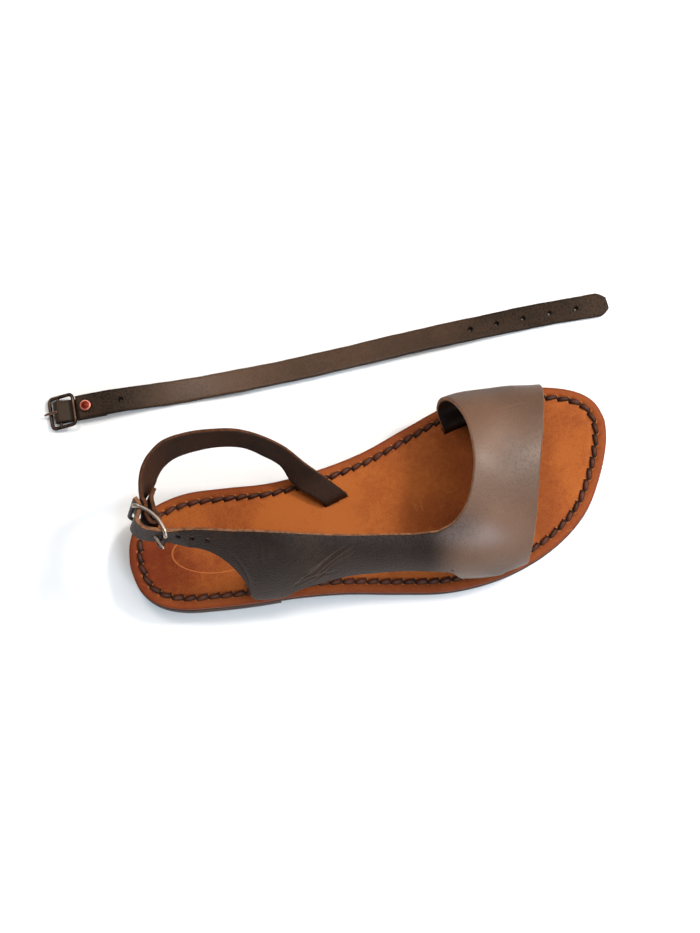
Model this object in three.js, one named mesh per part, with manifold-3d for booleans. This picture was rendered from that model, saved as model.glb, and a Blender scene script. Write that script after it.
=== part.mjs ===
// A flat leather sandal for the right foot, with its loose ankle strap beside it.
// Millimetres, +Z up, +X to the toe, +Y to the inner (big toe) side of the foot.
// The origin is on the floor, under the middle of the heel.
import * as THREE from 'three';
import { mergeVertices } from 'three/addons/utils/BufferGeometryUtils.js';
import Module from 'manifold-3d';

const wasm = await Module();
wasm.setup();

// Driving sizes of the sole
const SOLE_LENGTH = 256.6;
const BALL_WIDTH = 98.6;
const HEEL_SETBACK = 30.5;
const HEEL_LIFT = 6.5;
const OUTSOLE = 3.6;
const INSOLE = 3.8;
const INSOLE_INSET = 0.8;
const LAYER_GAP = 0.3;
const TOE_SPRING = 3.2;
const HEEL_BREAST = 70;
const SHANK_END = 143;
const TOE_BREAK = 212;
const SOLE_BEVEL = 0.7;

// Driving sizes of the lace that is whipped round the footbed
const LACE_WIDTH = 2.8;
const LACE_RISE = 1.3;
const LACE_INSET = 6.4;

// Driving sizes of the upper; its slits run between two shares of the sole's length
const UPPER_HEIGHT = 45;
const UPPER_WALL = 2.2;
const SLIT_INSET = 13;
const INNER_SLIT = [0.677, 0.872];
const OUTER_SLIT = [0.664, 0.750];
const HEEL_SLIT = [0.231, 0.276];
const CLEARANCE = 0.35;
const BILLET_WIDTH = 12.4;
const HOLE_DIAMETER = 2.8;

// Driving sizes of the heel strap and its buckle
const STRAP_WIDTH = 12.5;
const STRAP_WALL = 2.1;
const HEEL_BUCKLE = { length: 21.4, width: 18.2, wire: 2.2, bow: 3, bar: 0.5 };
const PRONG_WIRE = 1.7;
const SLOT_WIDTH = 3.2;

// Driving sizes of the loose ankle strap and its buckle
const ANKLE_LENGTH = 288;
const ANKLE_WIDTH = 12;
const ANKLE_WALL = 2.3;
const ANKLE_OFFSET = 92;
const ANKLE_START = -40.2;
const ANKLE_ROLL = 2.4;
const ANKLE_HOLES = 5;
const ANKLE_HOLE_PITCH = 14.6;
const ANKLE_HOLE_DIAMETER = 3;
const CHAPE_WIDTH = 10.8;
const CHAPE_WALL = 1.6;
const CHAPE_LENGTH = 24;
const CHAPE_TOP = 2 * CHAPE_WALL + CLEARANCE;
const ANKLE_BAR_GAP = 10;
const ANKLE_BUCKLE = { length: 13.6, width: 16.4, wire: 1.9, bow: 0, bar: 0.37 };
const RIVET_DIAMETER = 6.4;
const RIVET_RISE = 1.8;
const RIVET_SHANK = 2.4;

// Outline of the sole at even steps of arc from the back of the heel to the toe.
// Columns: inner edge, outer edge, as shares of the ball width.
const SOLE_EDGE = [
  [0.015, 0.015],
  [0.142, -0.120],
  [0.250, -0.215],
  [0.304, -0.273],
  [0.323, -0.305],
  [0.300, -0.332],
  [0.270, -0.354],
  [0.280, -0.394],
  [0.319, -0.457],
  [0.390, -0.513],
  [0.455, -0.518],
  [0.474, -0.476],
  [0.455, -0.395],
  [0.411, -0.275],
  [0.352, -0.108],
  [0.272, 0.045],
  [0.163, 0.163],
];

// Cross sections of the last, one at each tenth of the sole's length from 0.1 on.
// Columns: crown y, inner belly y, outer belly y (shares of the ball width),
// crown height, inner belly height, outer belly height (shares of the upper height),
// fullness of the outer side (1 is a straight slope, 2 is an ellipse).
const LAST = [
  [0.152, 0.304, -0.152, 1.167, 0.40, 0.11, 1.10],
  [0.086, 0.304, -0.285, 1.144, 0.40, 0.11, 1.15],
  [0.041, 0.274, -0.340, 1.089, 0.40, 0.12, 1.40],
  [0.010, 0.294, -0.338, 1.000, 0.40, 0.13, 1.70],
  [0.000, 0.335, -0.370, 0.956, 0.40, 0.13, 2.00],
  [0.020, 0.406, -0.441, 0.940, 0.40, 0.15, 2.00],
  [0.030, 0.444, -0.488, 0.856, 0.40, 0.13, 2.00],
  [0.000, 0.437, -0.448, 0.678, 0.27, 0.12, 2.00],
  [0.010, 0.408, -0.325, 0.533, 0.12, 0.12, 2.00],
];
const LAST_STEP = 0.1;

// Where a section turns under at its belly, and where it ends inside a slit.
// Both are girth values: 0 at the crown, 1 where the leather enters the footbed.
const BELLY = 0.78;
const SLIT_DEPTH = INSOLE - CLEARANCE;
const FOOT = 1.2;

// Rungs of the upper, from the slit on the inner side over the foot, back along
// the outer side and on to the heel. Columns: top edge along, top edge girth,
// hem along, hem girth. Along is a share of the sole's length, and girth is
// positive on the inner side of the foot.
const RUNGS = [
  [INNER_SLIT[0], FOOT, INNER_SLIT[1], FOOT],
  [INNER_SLIT[0], 1.00, INNER_SLIT[1], 1.00],
  [0.671, 0.90, 0.877, 0.90],
  [0.669, 0.82, 0.881, 0.80],
  [0.680, 0.70, 0.882, 0.68],
  [0.692, 0.55, 0.880, 0.56],
  [0.702, 0.39, 0.873, 0.42],
  [0.706, 0.25, 0.861, 0.29],
  [0.701, 0.11, 0.844, 0.14],
  [0.693, 0.00, 0.823, -0.01],
  [0.677, -0.10, 0.803, -0.17],
  [0.661, -0.17, 0.785, -0.34],
  [0.645, -0.22, 0.771, -0.48],
  [0.628, -0.26, 0.761, -0.62],
  [0.614, -0.28, 0.756, -0.80],
  [0.602, -0.29, OUTER_SLIT[1], -1.00],
  [0.594, -0.30, OUTER_SLIT[1], -FOOT],
  [0.580, -0.30, 0.708, -FOOT],
  [0.566, -0.30, OUTER_SLIT[0], -FOOT],
  [0.558, -0.30, OUTER_SLIT[0], -1.00],
  [0.550, -0.30, 0.659, -0.84],
  [0.538, -0.295, 0.645, -0.71],
  [0.520, -0.287, 0.600, -0.62],
  [0.470, -0.265, 0.511, -0.61],
  [0.410, -0.230, 0.425, -0.60],
  [0.360, -0.190, 0.352, -0.595],
  [0.327, -0.165, 0.313, -0.62],
  [0.307, -0.150, 0.293, -0.70],
  [0.297, -0.145, 0.281, -0.84],
  [0.293, -0.143, HEEL_SLIT[1], -1.00],
  [0.290, -0.142, HEEL_SLIT[1], -FOOT],
  [0.260, -0.126, 0.260, -FOOT],
  [0.234, -0.118, HEEL_SLIT[0], -FOOT],
  [0.227, -0.116, HEEL_SLIT[0], -1.00],
  [0.221, -0.114, 0.225, -0.78],
  [0.214, -0.112, 0.224, -0.56],
  [0.205, -0.110, 0.219, -0.43],
  [0.190, -0.107, 0.204, -0.32],
  [0.170, -0.108, 0.183, -0.25],
  [0.150, -0.115, 0.160, -0.228],
  [0.131, -0.124, 0.139, -0.230],
];

// Path of the billet through the heel buckle. Columns: along the buckle,
// out of the buckle at the billet's top edge and at its lower edge,
// as shares of half the buckle's length, and lift as a share of the billet's width.
const BILLET = [
  [-0.90, -0.34, -0.30, 0.11],
  [-0.48, 0.06, 0.14, 0.1],
  [0.00, 0.38, 0.46, 0.1],
  [0.46, 0.33, 0.40, 0.1],
  [0.64, 0.00, 0.02, 0.1],
  [0.80, -0.22, -0.22, 0.1],
  [1.02, -0.30, -0.30, 0.1],
  [1.22, -0.34, -0.34, 0.1],
];
const BILLET_LIFT = 0.1 * BILLET_WIDTH;

// The heel strap's route, from its slit in the arch out over the inner side and
// back to the heel buckle. Columns: upper edge along, y, height, then lower edge
// along, y, height, as shares of the sole's length, ball width and upper height.
const STRAP_ROUTE = [
  [0.449, 0.113, 0.05, 0.404, 0.084, 0.05],
  [0.437, 0.150, 0.10, 0.392, 0.116, 0.09],
  [0.412, 0.222, 0.16, 0.367, 0.176, 0.10],
  [0.385, 0.286, 0.31, 0.350, 0.236, 0.14],
  [0.353, 0.370, 0.53, 0.338, 0.308, 0.30],
  [0.314, 0.432, 0.73, 0.310, 0.360, 0.50],
  [0.273, 0.475, 0.86, 0.279, 0.410, 0.62],
  [0.230, 0.496, 0.92, 0.240, 0.437, 0.68],
  [0.186, 0.506, 0.96, 0.196, 0.443, 0.725],
  [0.140, 0.494, 0.99, 0.152, 0.432, 0.755],
  [0.111, 0.453, 0.985, 0.124, 0.402, 0.745],
  [0.092, 0.400, 0.98, 0.107, 0.361, 0.73],
  [0.081, 0.339, 0.96, 0.096, 0.322, 0.71],
];

// The heel strap inside the buckle, before and after its fold round the bar.
// Columns: along the buckle, out of it at the strap's upper edge and at its
// lower edge, as shares of half the buckle's length.
const STRAP_APPROACH = [
  [1.09, -0.60, -0.84],
  [0.75, -0.50, -0.56],
  [0.36, -0.16, -0.19],
];
const STRAP_RETURN = [
  [0.36, -0.62, -0.62],
  [0.70, -0.84, -0.84],
  [0.86, -1.04, -1.02],
  [0.95, -1.28, -1.22],
];

// Where the heel buckle sits, in shares of the sole's length, ball width and
// upper height, with its heading from +X and its lean towards the foot.
const BUCKLE_SEAT = { along: 0.0752, y: 0.122, height: 0.842, heading: 122.5, lean: 20, tilt: 4 };
const BUCKLE_OUT = 1;

// Curve of the loose ankle strap in plan. Columns: share of its length,
// y offset as a share of the ball width.
const ANKLE_CURVE = [-0.002, -0.024, -0.052, -0.072, -0.080, -0.083, -0.092, -0.104, -0.128];

// Places on the loose strap as shares of its length, and its holes from the tip.
const RIVET_PLACE = 0.016;
const ANKLE_LONE_HOLE = 0.08;
const ANKLE_HOLE_MARGIN = 17.3;

// Holes of the billet, as shares of the sole's length, and their girth value.
const BILLET_HOLES = [0.125, 0.149, 0.176];
const BILLET_HOLE_GIRTH = -0.165;

// Curve of the upper from its belly over the lace into a slit: heights of the two
// middle control points, as shares of the height at which it clears the lace.
const LAP_CURVE = [0.65, 2.05];

// Fineness of the meshes: sections along the sole's layers and round the lace,
// columns across the upper, steps that each rung is drawn with, the length in
// millimetres that one radian of bend counts for, and sections of the loose strap.
const SOLE_SECTION_COUNT = 44;
const LACE_SECTION_COUNT = 96;
const UPPER_COLUMNS = 12;
const RUNG_STEPS = 60;
const BEND_WEIGHT = 12;
const ANKLE_SECTION_COUNT = 46;

const LEATHER = { roughness: 0.55, metalness: 0 };
const METAL = { roughness: 0.35, metalness: 0.9 };

function clamp(value, low, high) {
  return Math.min(Math.max(value, low), high);
}

function smooth(value) {
  const t = clamp(value, 0, 1);
  return t * t * (3 - 2 * t);
}

// Reads a table of evenly spaced rows as smooth curves; position is in rows.
function sample(table, position) {
  const last = table.length - 1;
  const row = clamp(Math.floor(position), 0, last - 1);
  const t = clamp(position - row, 0, 1);
  const [p0, p1, p2, p3] = [row - 1, row, row + 1, row + 2].map((i) => table[clamp(i, 0, last)]);
  return p1.map((value, column) => {
    const tangent = p2[column] - p0[column];
    const bend = 2 * p0[column] - 5 * value + 4 * p2[column] - p3[column];
    const twist = 3 * value - p0[column] - 3 * p2[column] + p3[column];
    return value + 0.5 * t * (tangent + t * (bend + t * twist));
  });
}

// Resamples a table of rows so that each gap is cut into equal steps.
function refine(table, steps) {
  const rows = [];
  const count = (table.length - 1) * steps;
  for (let i = 0; i <= count; i += 1) {
    rows.push(sample(table, i / steps));
  }
  return rows;
}

// A mesh of a closed body, turned so that its faces point out.
function geometryOf(points, triangles) {
  let volume = 0;
  for (let i = 0; i < triangles.length; i += 3) {
    const [a, b, c] = triangles.slice(i, i + 3).map((index) => points[index]);
    volume += a.dot(b.clone().cross(c));
  }
  const geometry = new THREE.BufferGeometry();
  const positions = points.flatMap((p) => [p.x, p.y, p.z]);
  geometry.setAttribute('position', new THREE.Float32BufferAttribute(positions, 3));
  geometry.setIndex(volume < 0 ? triangles.reverse() : triangles);
  return geometry;
}

// Skins a row of convex closed sections, capped at both ends or joined as a ring.
function loft(sections, ring = false) {
  const around = sections[0].length;
  const points = sections.flat();
  const triangles = [];
  const spans = ring ? sections.length : sections.length - 1;
  for (let i = 0; i < spans; i += 1) {
    const here = i * around;
    const next = ((i + 1) % sections.length) * around;
    for (let j = 0; j < around; j += 1) {
      const k = (j + 1) % around;
      triangles.push(here + j, here + k, next + k);
      triangles.push(here + j, next + k, next + j);
    }
  }
  if (!ring) {
    const end = (sections.length - 1) * around;
    for (let j = 1; j < around - 1; j += 1) {
      triangles.push(0, j + 1, j);
      triangles.push(end, end + j, end + j + 1);
    }
  }
  return geometryOf(points, triangles);
}

// Gives a grid of points a wall of even thickness, as one closed solid.
function wall(grid, thickness) {
  const rows = grid.length;
  const columns = grid[0].length;
  const faces = [[], []];
  const along = new THREE.Vector3();
  const across = new THREE.Vector3();
  for (let i = 0; i < rows; i += 1) {
    for (let j = 0; j < columns; j += 1) {
      along.subVectors(grid[Math.min(i + 1, rows - 1)][j], grid[Math.max(i - 1, 0)][j]);
      across.subVectors(grid[i][Math.min(j + 1, columns - 1)], grid[i][Math.max(j - 1, 0)]);
      const normal = along.clone().cross(across).normalize().multiplyScalar(thickness / 2);
      faces[0].push(grid[i][j].clone().add(normal));
      faces[1].push(grid[i][j].clone().sub(normal));
    }
  }
  const back = rows * columns;
  const triangles = [];
  const quad = (a, b, c, d) => triangles.push(a, b, c, a, c, d);
  for (let i = 0; i < rows - 1; i += 1) {
    for (let j = 0; j < columns - 1; j += 1) {
      const a = i * columns + j;
      const b = a + columns;
      quad(a, b, b + 1, a + 1);
      quad(back + a, back + a + 1, back + b + 1, back + b);
    }
    const low = i * columns;
    const high = low + columns - 1;
    quad(low, back + low, back + low + columns, low + columns);
    quad(high, high + columns, back + high + columns, back + high);
  }
  for (let j = 0; j < columns - 1; j += 1) {
    const end = (rows - 1) * columns + j;
    quad(j, j + 1, back + j + 1, back + j);
    quad(end, back + end, back + end + 1, end + 1);
  }
  return geometryOf(faces.flat(), triangles);
}

function solidOf(geometry) {
  const bare = geometry.clone();
  bare.deleteAttribute('normal');
  bare.deleteAttribute('uv');
  const merged = mergeVertices(bare, 1e-5);
  const vertProperties = new Float32Array(merged.attributes.position.array);
  const triVerts = new Uint32Array(merged.index.array);
  return new wasm.Manifold(new wasm.Mesh({ numProp: 3, vertProperties, triVerts }));
}

function cut(geometry, cutters) {
  let solid = solidOf(geometry);
  for (const cutter of cutters) {
    solid = solid.subtract(solidOf(cutter));
  }
  return meshOf(solid);
}

function join(geometries) {
  return meshOf(geometries.map(solidOf).reduce((whole, piece) => whole.add(piece)));
}

function meshOf(solid) {
  const result = solid.getMesh();
  const geometry = new THREE.BufferGeometry();
  const positions = new THREE.Float32BufferAttribute(result.vertProperties, 3);
  geometry.setAttribute('position', positions);
  geometry.setIndex(Array.from(result.triVerts));
  return geometry;
}

// A round pin between two points.
function pin(from, to, radius, sides = 12) {
  const axis = to.clone().sub(from);
  const turn = new THREE.Quaternion().setFromUnitVectors(
    new THREE.Vector3(0, 1, 0),
    axis.clone().normalize(),
  );
  const geometry = new THREE.CylinderGeometry(radius, radius, axis.length(), sides);
  geometry.applyQuaternion(turn);
  geometry.translate(...from.clone().add(to).multiplyScalar(0.5).toArray());
  return geometry;
}

function part(name, geometry, colour, finish) {
  const material = new THREE.MeshStandardMaterial({ color: colour, ...finish });
  const mesh = new THREE.Mesh(geometry, material);
  mesh.name = name;
  return mesh;
}

// The sole
function alongToX(along) {
  return along * SOLE_LENGTH - HEEL_SETBACK;
}

// Inner and outer edge of the sole at a share of its length.
function soleEdges(along) {
  const arc = Math.acos(1 - 2 * clamp(along, 0, 1)) / Math.PI;
  const [inner, outer] = sample(SOLE_EDGE, arc * (SOLE_EDGE.length - 1));
  return { inner: inner * BALL_WIDTH, outer: outer * BALL_WIDTH };
}

// Height of the outsole's underside: flat at the heel and the ball, up at the toe.
function soleBottom(x) {
  const step = HEEL_LIFT + LAYER_GAP;
  const fall = smooth((x + HEEL_SETBACK - HEEL_BREAST) / (SHANK_END - HEEL_BREAST));
  const run = SOLE_LENGTH - TOE_BREAK;
  const rise = clamp((x + HEEL_SETBACK - TOE_BREAK) / run, 0, 1);
  return step * (1 - fall) + TOE_SPRING * rise * rise;
}

function insoleBottom(x) {
  return soleBottom(x) + OUTSOLE + LAYER_GAP;
}

function footbed(x) {
  return insoleBottom(x) + INSOLE;
}

// A layer of the sole between two shares of its length.
function soleLayer(fromAlong, toAlong, inset, steps, bottom, top) {
  const sections = [];
  const first = Math.acos(1 - 2 * fromAlong);
  const last = Math.acos(1 - 2 * toAlong);
  const margin = 0.02;
  for (let i = 0; i <= steps; i += 1) {
    const angle = first + ((last - first) * i) / steps;
    const along = (1 - Math.cos(clamp(angle, margin, Math.PI - margin))) / 2;
    const full = alongToX(along);
    const middle = alongToX(0.5);
    const x = middle + (full - middle) * (1 - (2 * inset) / SOLE_LENGTH);
    const { inner, outer } = soleEdges(along);
    const centre = (inner + outer) / 2;
    const half = Math.max((inner - outer) / 2 - inset, SOLE_BEVEL);
    const bevel = Math.min(SOLE_BEVEL, half / 2);
    const low = bottom(x);
    const high = top(x);
    sections.push([
      new THREE.Vector3(x, centre - half, low),
      new THREE.Vector3(x, centre - half, high - bevel),
      new THREE.Vector3(x, centre - half + bevel, high),
      new THREE.Vector3(x, centre + half - bevel, high),
      new THREE.Vector3(x, centre + half, high - bevel),
      new THREE.Vector3(x, centre + half, low),
    ]);
  }
  return loft(sections);
}

function heelLift() {
  const sections = Math.round(SOLE_SECTION_COUNT / 2);
  const geometry = soleLayer(0, HEEL_BREAST / SOLE_LENGTH, 0, sections, () => 0, () => HEEL_LIFT);
  return part('heel_lift', geometry, 0x2a1b14, LEATHER);
}

function outsole() {
  const top = (x) => soleBottom(x) + OUTSOLE;
  return part('outsole', soleLayer(0, 1, 0, SOLE_SECTION_COUNT, soleBottom, top), 0x3a2418, LEATHER);
}

// A vertical slot through the footbed between two points in plan.
function slitCutter(route, thickness) {
  const grid = route.map(({ x, y }) => {
    const low = insoleBottom(x) - 1;
    const high = footbed(x) + 1;
    return [new THREE.Vector3(x, y, low), new THREE.Vector3(x, y, high)];
  });
  return wall(grid, thickness + 4 * CLEARANCE);
}

// Plan route of an upper's slit, beside the sole's edge.
function edgeSlit([fromAlong, toAlong], side) {
  const extra = (8 * CLEARANCE) / SOLE_LENGTH;
  const steps = 8;
  const route = [];
  for (let i = 0; i <= steps; i += 1) {
    const along = fromAlong - extra + ((toAlong - fromAlong + 2 * extra) * i) / steps;
    route.push({ x: alongToX(along), y: slitY(along, side) });
  }
  return route;
}

function slitY(along, side) {
  const edges = soleEdges(along);
  return side > 0 ? edges.inner - SLIT_INSET : edges.outer + SLIT_INSET;
}

function strapSlit() {
  const [upperAlong, upperY, , lowerAlong, lowerY] = STRAP_ROUTE[0];
  const from = new THREE.Vector2(alongToX(lowerAlong), lowerY * BALL_WIDTH);
  const to = new THREE.Vector2(alongToX(upperAlong), upperY * BALL_WIDTH);
  const margin = to.clone().sub(from).normalize().multiplyScalar(2 * CLEARANCE);
  return [from.sub(margin), to.add(margin)].map(({ x, y }) => ({ x, y }));
}

function insole() {
  const body = soleLayer(0, 1, INSOLE_INSET, SOLE_SECTION_COUNT, insoleBottom, footbed);
  const slits = [
    slitCutter(edgeSlit(INNER_SLIT, 1), UPPER_WALL),
    slitCutter(edgeSlit(OUTER_SLIT, -1), UPPER_WALL),
    slitCutter(edgeSlit(HEEL_SLIT, -1), UPPER_WALL),
    slitCutter(strapSlit(), STRAP_WALL),
  ];
  return part('insole', cut(body, slits), 0xb5622c, LEATHER);
}

// The lace on top of the footbed, a low dome in section
function laceLine(count) {
  const outline = [];
  for (let i = 0; i < count; i += 1) {
    const turn = (2 * Math.PI * i) / count;
    const along = (1 - Math.cos(turn)) / 2;
    const edges = soleEdges(along);
    outline.push(new THREE.Vector2(alongToX(along), turn < Math.PI ? edges.inner : edges.outer));
  }
  return outline.map((point, i) => {
    const before = outline[(i + count - 1) % count];
    const after = outline[(i + 1) % count];
    const tangent = after.clone().sub(before).normalize();
    const inward = new THREE.Vector2(tangent.y, -tangent.x);
    return { centre: point.clone().addScaledVector(inward, LACE_INSET), inward };
  });
}

function edgeLace() {
  const profile = [[-0.5, 0], [-0.42, 0.7], [0, 1], [0.42, 0.7], [0.5, 0]];
  const line = laceLine(Math.round(LACE_SECTION_COUNT));
  const sections = line.map(({ centre, inward }) => profile.map(([side, rise]) => {
    const spot = centre.clone().addScaledVector(inward, side * LACE_WIDTH);
    const z = footbed(spot.x) + LAYER_GAP + rise * LACE_RISE;
    return new THREE.Vector3(spot.x, spot.y, z);
  }));
  return part('edge_lace', loft(sections, true), 0x4a2c1c, LEATHER);
}

// The upper
// A point of the last at a share of the length and a girth value.
function lastPoint(along, girth) {
  const row = along / LAST_STEP - 1;
  const [crownY, innerY, outerY, crownH, innerH, outerH, fullness] = sample(LAST, row);
  const side = girth > 0 ? 1 : -1;
  const bellyY = (side > 0 ? innerY : outerY) * BALL_WIDTH;
  const bellyH = (side > 0 ? innerH : outerH) * UPPER_HEIGHT;
  const turn = Math.abs(girth);
  const x = alongToX(along);
  if (turn <= BELLY) {
    const power = side > 0 ? 2 : fullness;
    const out = Math.sin((turn / BELLY) * (Math.PI / 2));
    const up = Math.max(0, 1 - out ** power) ** (1 / power);
    const y = crownY * BALL_WIDTH + (bellyY - crownY * BALL_WIDTH) * out;
    const height = bellyH + (crownH * UPPER_HEIGHT - bellyH) * up;
    return new THREE.Vector3(x, y, footbed(x) + height);
  }
  const slit = slitY(along, side);
  const lap = LAYER_GAP + LACE_RISE + 3 * CLEARANCE + UPPER_WALL / 2;
  const path = new THREE.CubicBezierCurve(
    new THREE.Vector2(bellyY, bellyH),
    new THREE.Vector2(bellyY, lap * LAP_CURVE[0]),
    new THREE.Vector2(slit, lap * LAP_CURVE[1]),
    new THREE.Vector2(slit, CLEARANCE),
  );
  if (turn <= 1) {
    const spot = path.getPoint((turn - BELLY) / (1 - BELLY));
    return new THREE.Vector3(x, spot.x, footbed(x) + spot.y);
  }
  const depth = (SLIT_DEPTH + CLEARANCE) * Math.min((turn - 1) / (FOOT - 1), 1);
  return new THREE.Vector3(x, slit, footbed(x) + CLEARANCE - depth);
}

// The heel buckle's own frame: along it, down its width and out of the foot.
function heelFrame() {
  const heading = THREE.MathUtils.degToRad(BUCKLE_SEAT.heading);
  const lean = THREE.MathUtils.degToRad(BUCKLE_SEAT.lean);
  const rise = Math.tan(THREE.MathUtils.degToRad(BUCKLE_SEAT.tilt));
  const along = new THREE.Vector3(Math.cos(heading), Math.sin(heading), rise).normalize();
  const inward = new THREE.Vector3(Math.sin(heading), -Math.cos(heading), 0);
  const up = inward.multiplyScalar(Math.sin(lean)).setZ(Math.cos(lean));
  const out = up.cross(along).normalize();
  const x = alongToX(BUCKLE_SEAT.along);
  const y = BUCKLE_SEAT.y * BALL_WIDTH;
  const centre = new THREE.Vector3(x, y, footbed(x) + BUCKLE_SEAT.height * UPPER_HEIGHT);
  return frameAt(centre, along, out);
}

function frameAt(centre, along, out) {
  const width = out.clone().cross(along).normalize();
  return new THREE.Matrix4().makeBasis(along, width, out).setPosition(centre);
}

const HEEL_FRAME = heelFrame();

function inFrame(frame, a, b, c) {
  return new THREE.Vector3(a, b, c).applyMatrix4(frame);
}

// Places a few points along a curve, closer together where it bends.
function spread(curve, columns) {
  const reach = [0];
  for (let i = 1; i < curve.length; i += 1) {
    const step = curve[i].clone().sub(curve[i - 1]);
    const before = i > 1 ? curve[i - 1].clone().sub(curve[i - 2]) : step;
    reach.push(reach[i - 1] + step.length() + BEND_WEIGHT * step.angleTo(before));
  }
  const total = reach[reach.length - 1];
  const points = [];
  let i = 1;
  for (let column = 0; column <= columns; column += 1) {
    const goal = (total * column) / columns;
    while (i < curve.length - 1 && reach[i] < goal) {
      i += 1;
    }
    const share = (goal - reach[i - 1]) / (reach[i] - reach[i - 1]);
    points.push(curve[i - 1].clone().lerp(curve[i], clamp(share, 0, 1)));
  }
  return points;
}

// A rung of the upper over the last, from its top edge to its hem.
function rungPoints([topAlong, topGirth, hemAlong, hemGirth]) {
  const entry = topGirth < 1 && hemGirth < -1 ? (topGirth + 1) / (topGirth - hemGirth) : 1;
  const curve = [];
  for (let j = 0; j <= RUNG_STEPS; j += 1) {
    const t = j / RUNG_STEPS;
    const along = topAlong + (hemAlong - topAlong) * Math.min(t / entry, 1);
    curve.push(lastPoint(along, topGirth + (hemGirth - topGirth) * t));
  }
  return spread(curve, UPPER_COLUMNS);
}

// A rung of the billet, straight across its width in the buckle's frame.
function billetRung([a, topOut, lowOut, lift]) {
  const reach = HEEL_BUCKLE.length / 2;
  const half = BILLET_WIDTH / 2;
  const rung = [];
  for (let j = 0; j <= UPPER_COLUMNS; j += 1) {
    const t = j / UPPER_COLUMNS;
    const out = (topOut + (lowOut - topOut) * t) * reach + BUCKLE_OUT;
    const across = half * (2 * t - 1) - lift * BILLET_WIDTH;
    rung.push(inFrame(HEEL_FRAME, a * reach, across, out));
  }
  return rung;
}

function upperGrid() {
  return [...refine(RUNGS, 2).map(rungPoints), ...BILLET.map(billetRung)];
}

// Punched holes of the billet that lie between the quarter and the buckle.
function billetHoles() {
  return BILLET_HOLES.map((along) => {
    const spot = lastPoint(along, BILLET_HOLE_GIRTH);
    const ahead = lastPoint(along + 0.01, BILLET_HOLE_GIRTH).sub(spot);
    const beside = lastPoint(along, BILLET_HOLE_GIRTH * 1.2).sub(spot);
    const normal = ahead.cross(beside).normalize().multiplyScalar(2 * UPPER_WALL);
    return pin(spot.clone().sub(normal), spot.clone().add(normal), HOLE_DIAMETER / 2);
  });
}

function upper() {
  const prong = prongLine(HEEL_BUCKLE, BUCKLE_OUT);
  const side = -BILLET_LIFT;
  const from = inFrame(HEEL_FRAME, prong.start.x - PRONG_WIRE, side, prong.start.y);
  const to = inFrame(HEEL_FRAME, prong.end.x, side, prong.end.y);
  const prongHole = pin(from, to, PRONG_WIRE / 2 + 2 * CLEARANCE);
  const geometry = cut(wall(upperGrid(), UPPER_WALL), [...billetHoles(), prongHole]);
  return part('upper', geometry, 0x57483f, LEATHER);
}

// A buckle of round wire in its own frame: end bar, middle bar and keeper bar
function barPlace(buckle) {
  const reach = buckle.length / 2;
  const a = reach * (2 * buckle.bar - 1);
  return { a, c: -buckle.bow * (1 - (a / reach) ** 2) };
}

function buckleWire(buckle) {
  const reach = buckle.length / 2;
  const half = buckle.width / 2;
  const corner = buckle.wire * 1.2;
  const corners = [[1, 1, 0], [-1, 1, 90], [-1, -1, 180], [1, -1, 270]];
  const plan = corners.flatMap(([a, b, start], index) => {
    const arc = [0, 30, 60, 90].map((step) => {
      const angle = THREE.MathUtils.degToRad(start + step);
      const x = a * (reach - corner) + corner * Math.cos(angle);
      return [x, b * (half - corner) + corner * Math.sin(angle)];
    });
    const rail = index % 2 === 0 ? [0.6, 0.2, -0.2, -0.6] : [];
    return arc.concat(rail.map((share) => [share * a * (reach - corner), b * half]));
  });
  const bowed = plan.map(([a, b]) => {
    const out = -buckle.bow * (1 - (a / reach) ** 2);
    return new THREE.Vector3(a, b, out);
  });
  const sides = 8;
  const up = new THREE.Vector3(0, 0, 1);
  return loft(bowed.map((point, i) => {
    const before = bowed[(i + bowed.length - 1) % bowed.length];
    const after = bowed[(i + 1) % bowed.length];
    const tangent = after.clone().sub(before).normalize();
    const side = tangent.clone().cross(up).normalize();
    const top = side.clone().cross(tangent);
    const ring = [];
    for (let k = 0; k < sides; k += 1) {
      const angle = (2 * Math.PI * k) / sides;
      const spot = point.clone().addScaledVector(side, (Math.cos(angle) * buckle.wire) / 2);
      ring.push(spot.addScaledVector(top, (Math.sin(angle) * buckle.wire) / 2));
    }
    return ring;
  }), true);
}

function buckleGeometry(buckle, frame, out) {
  const { a, c } = barPlace(buckle);
  const half = buckle.width / 2;
  const bar = pin(new THREE.Vector3(a, -half, c), new THREE.Vector3(a, half, c), buckle.wire / 2.2, 10);
  const geometry = join([buckleWire(buckle), bar]);
  geometry.translate(0, 0, out);
  return geometry.applyMatrix4(frame);
}

// Line of a prong's shank: over its bar and over the end bar.
function prongLine(buckle, out) {
  const { a, c } = barPlace(buckle);
  const stand = buckle.wire / 2 + CLEARANCE + PRONG_WIRE / 2;
  const reach = buckle.length / 2;
  const start = new THREE.Vector2(a, c + stand + out);
  const overEnd = new THREE.Vector2(-reach, stand + out);
  const tip = overEnd.clone().sub(start).setLength(overEnd.distanceTo(start) + 1.6 * PRONG_WIRE);
  return { start, end: start.clone().add(tip) };
}

function prongGeometry(buckle, frame, side, out) {
  const { a, c } = barPlace(buckle);
  const inner = buckle.wire / 2 + CLEARANCE;
  const outer = inner + PRONG_WIRE * 0.75;
  const half = PRONG_WIRE * 0.6;
  const profile = [[inner, -half], [outer, -half], [outer, half], [inner, half], [inner, -half]];
  const eye = new THREE.LatheGeometry(profile.map(([r, y]) => new THREE.Vector2(r, y)), 14);
  eye.translate(a, side, c + out);
  const { start, end } = prongLine(buckle, out);
  const shank = pin(
    new THREE.Vector3(start.x, side, start.y),
    new THREE.Vector3(end.x, side, end.y),
    PRONG_WIRE / 2,
    8,
  );
  return join([eye, shank]).applyMatrix4(frame);
}

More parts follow.
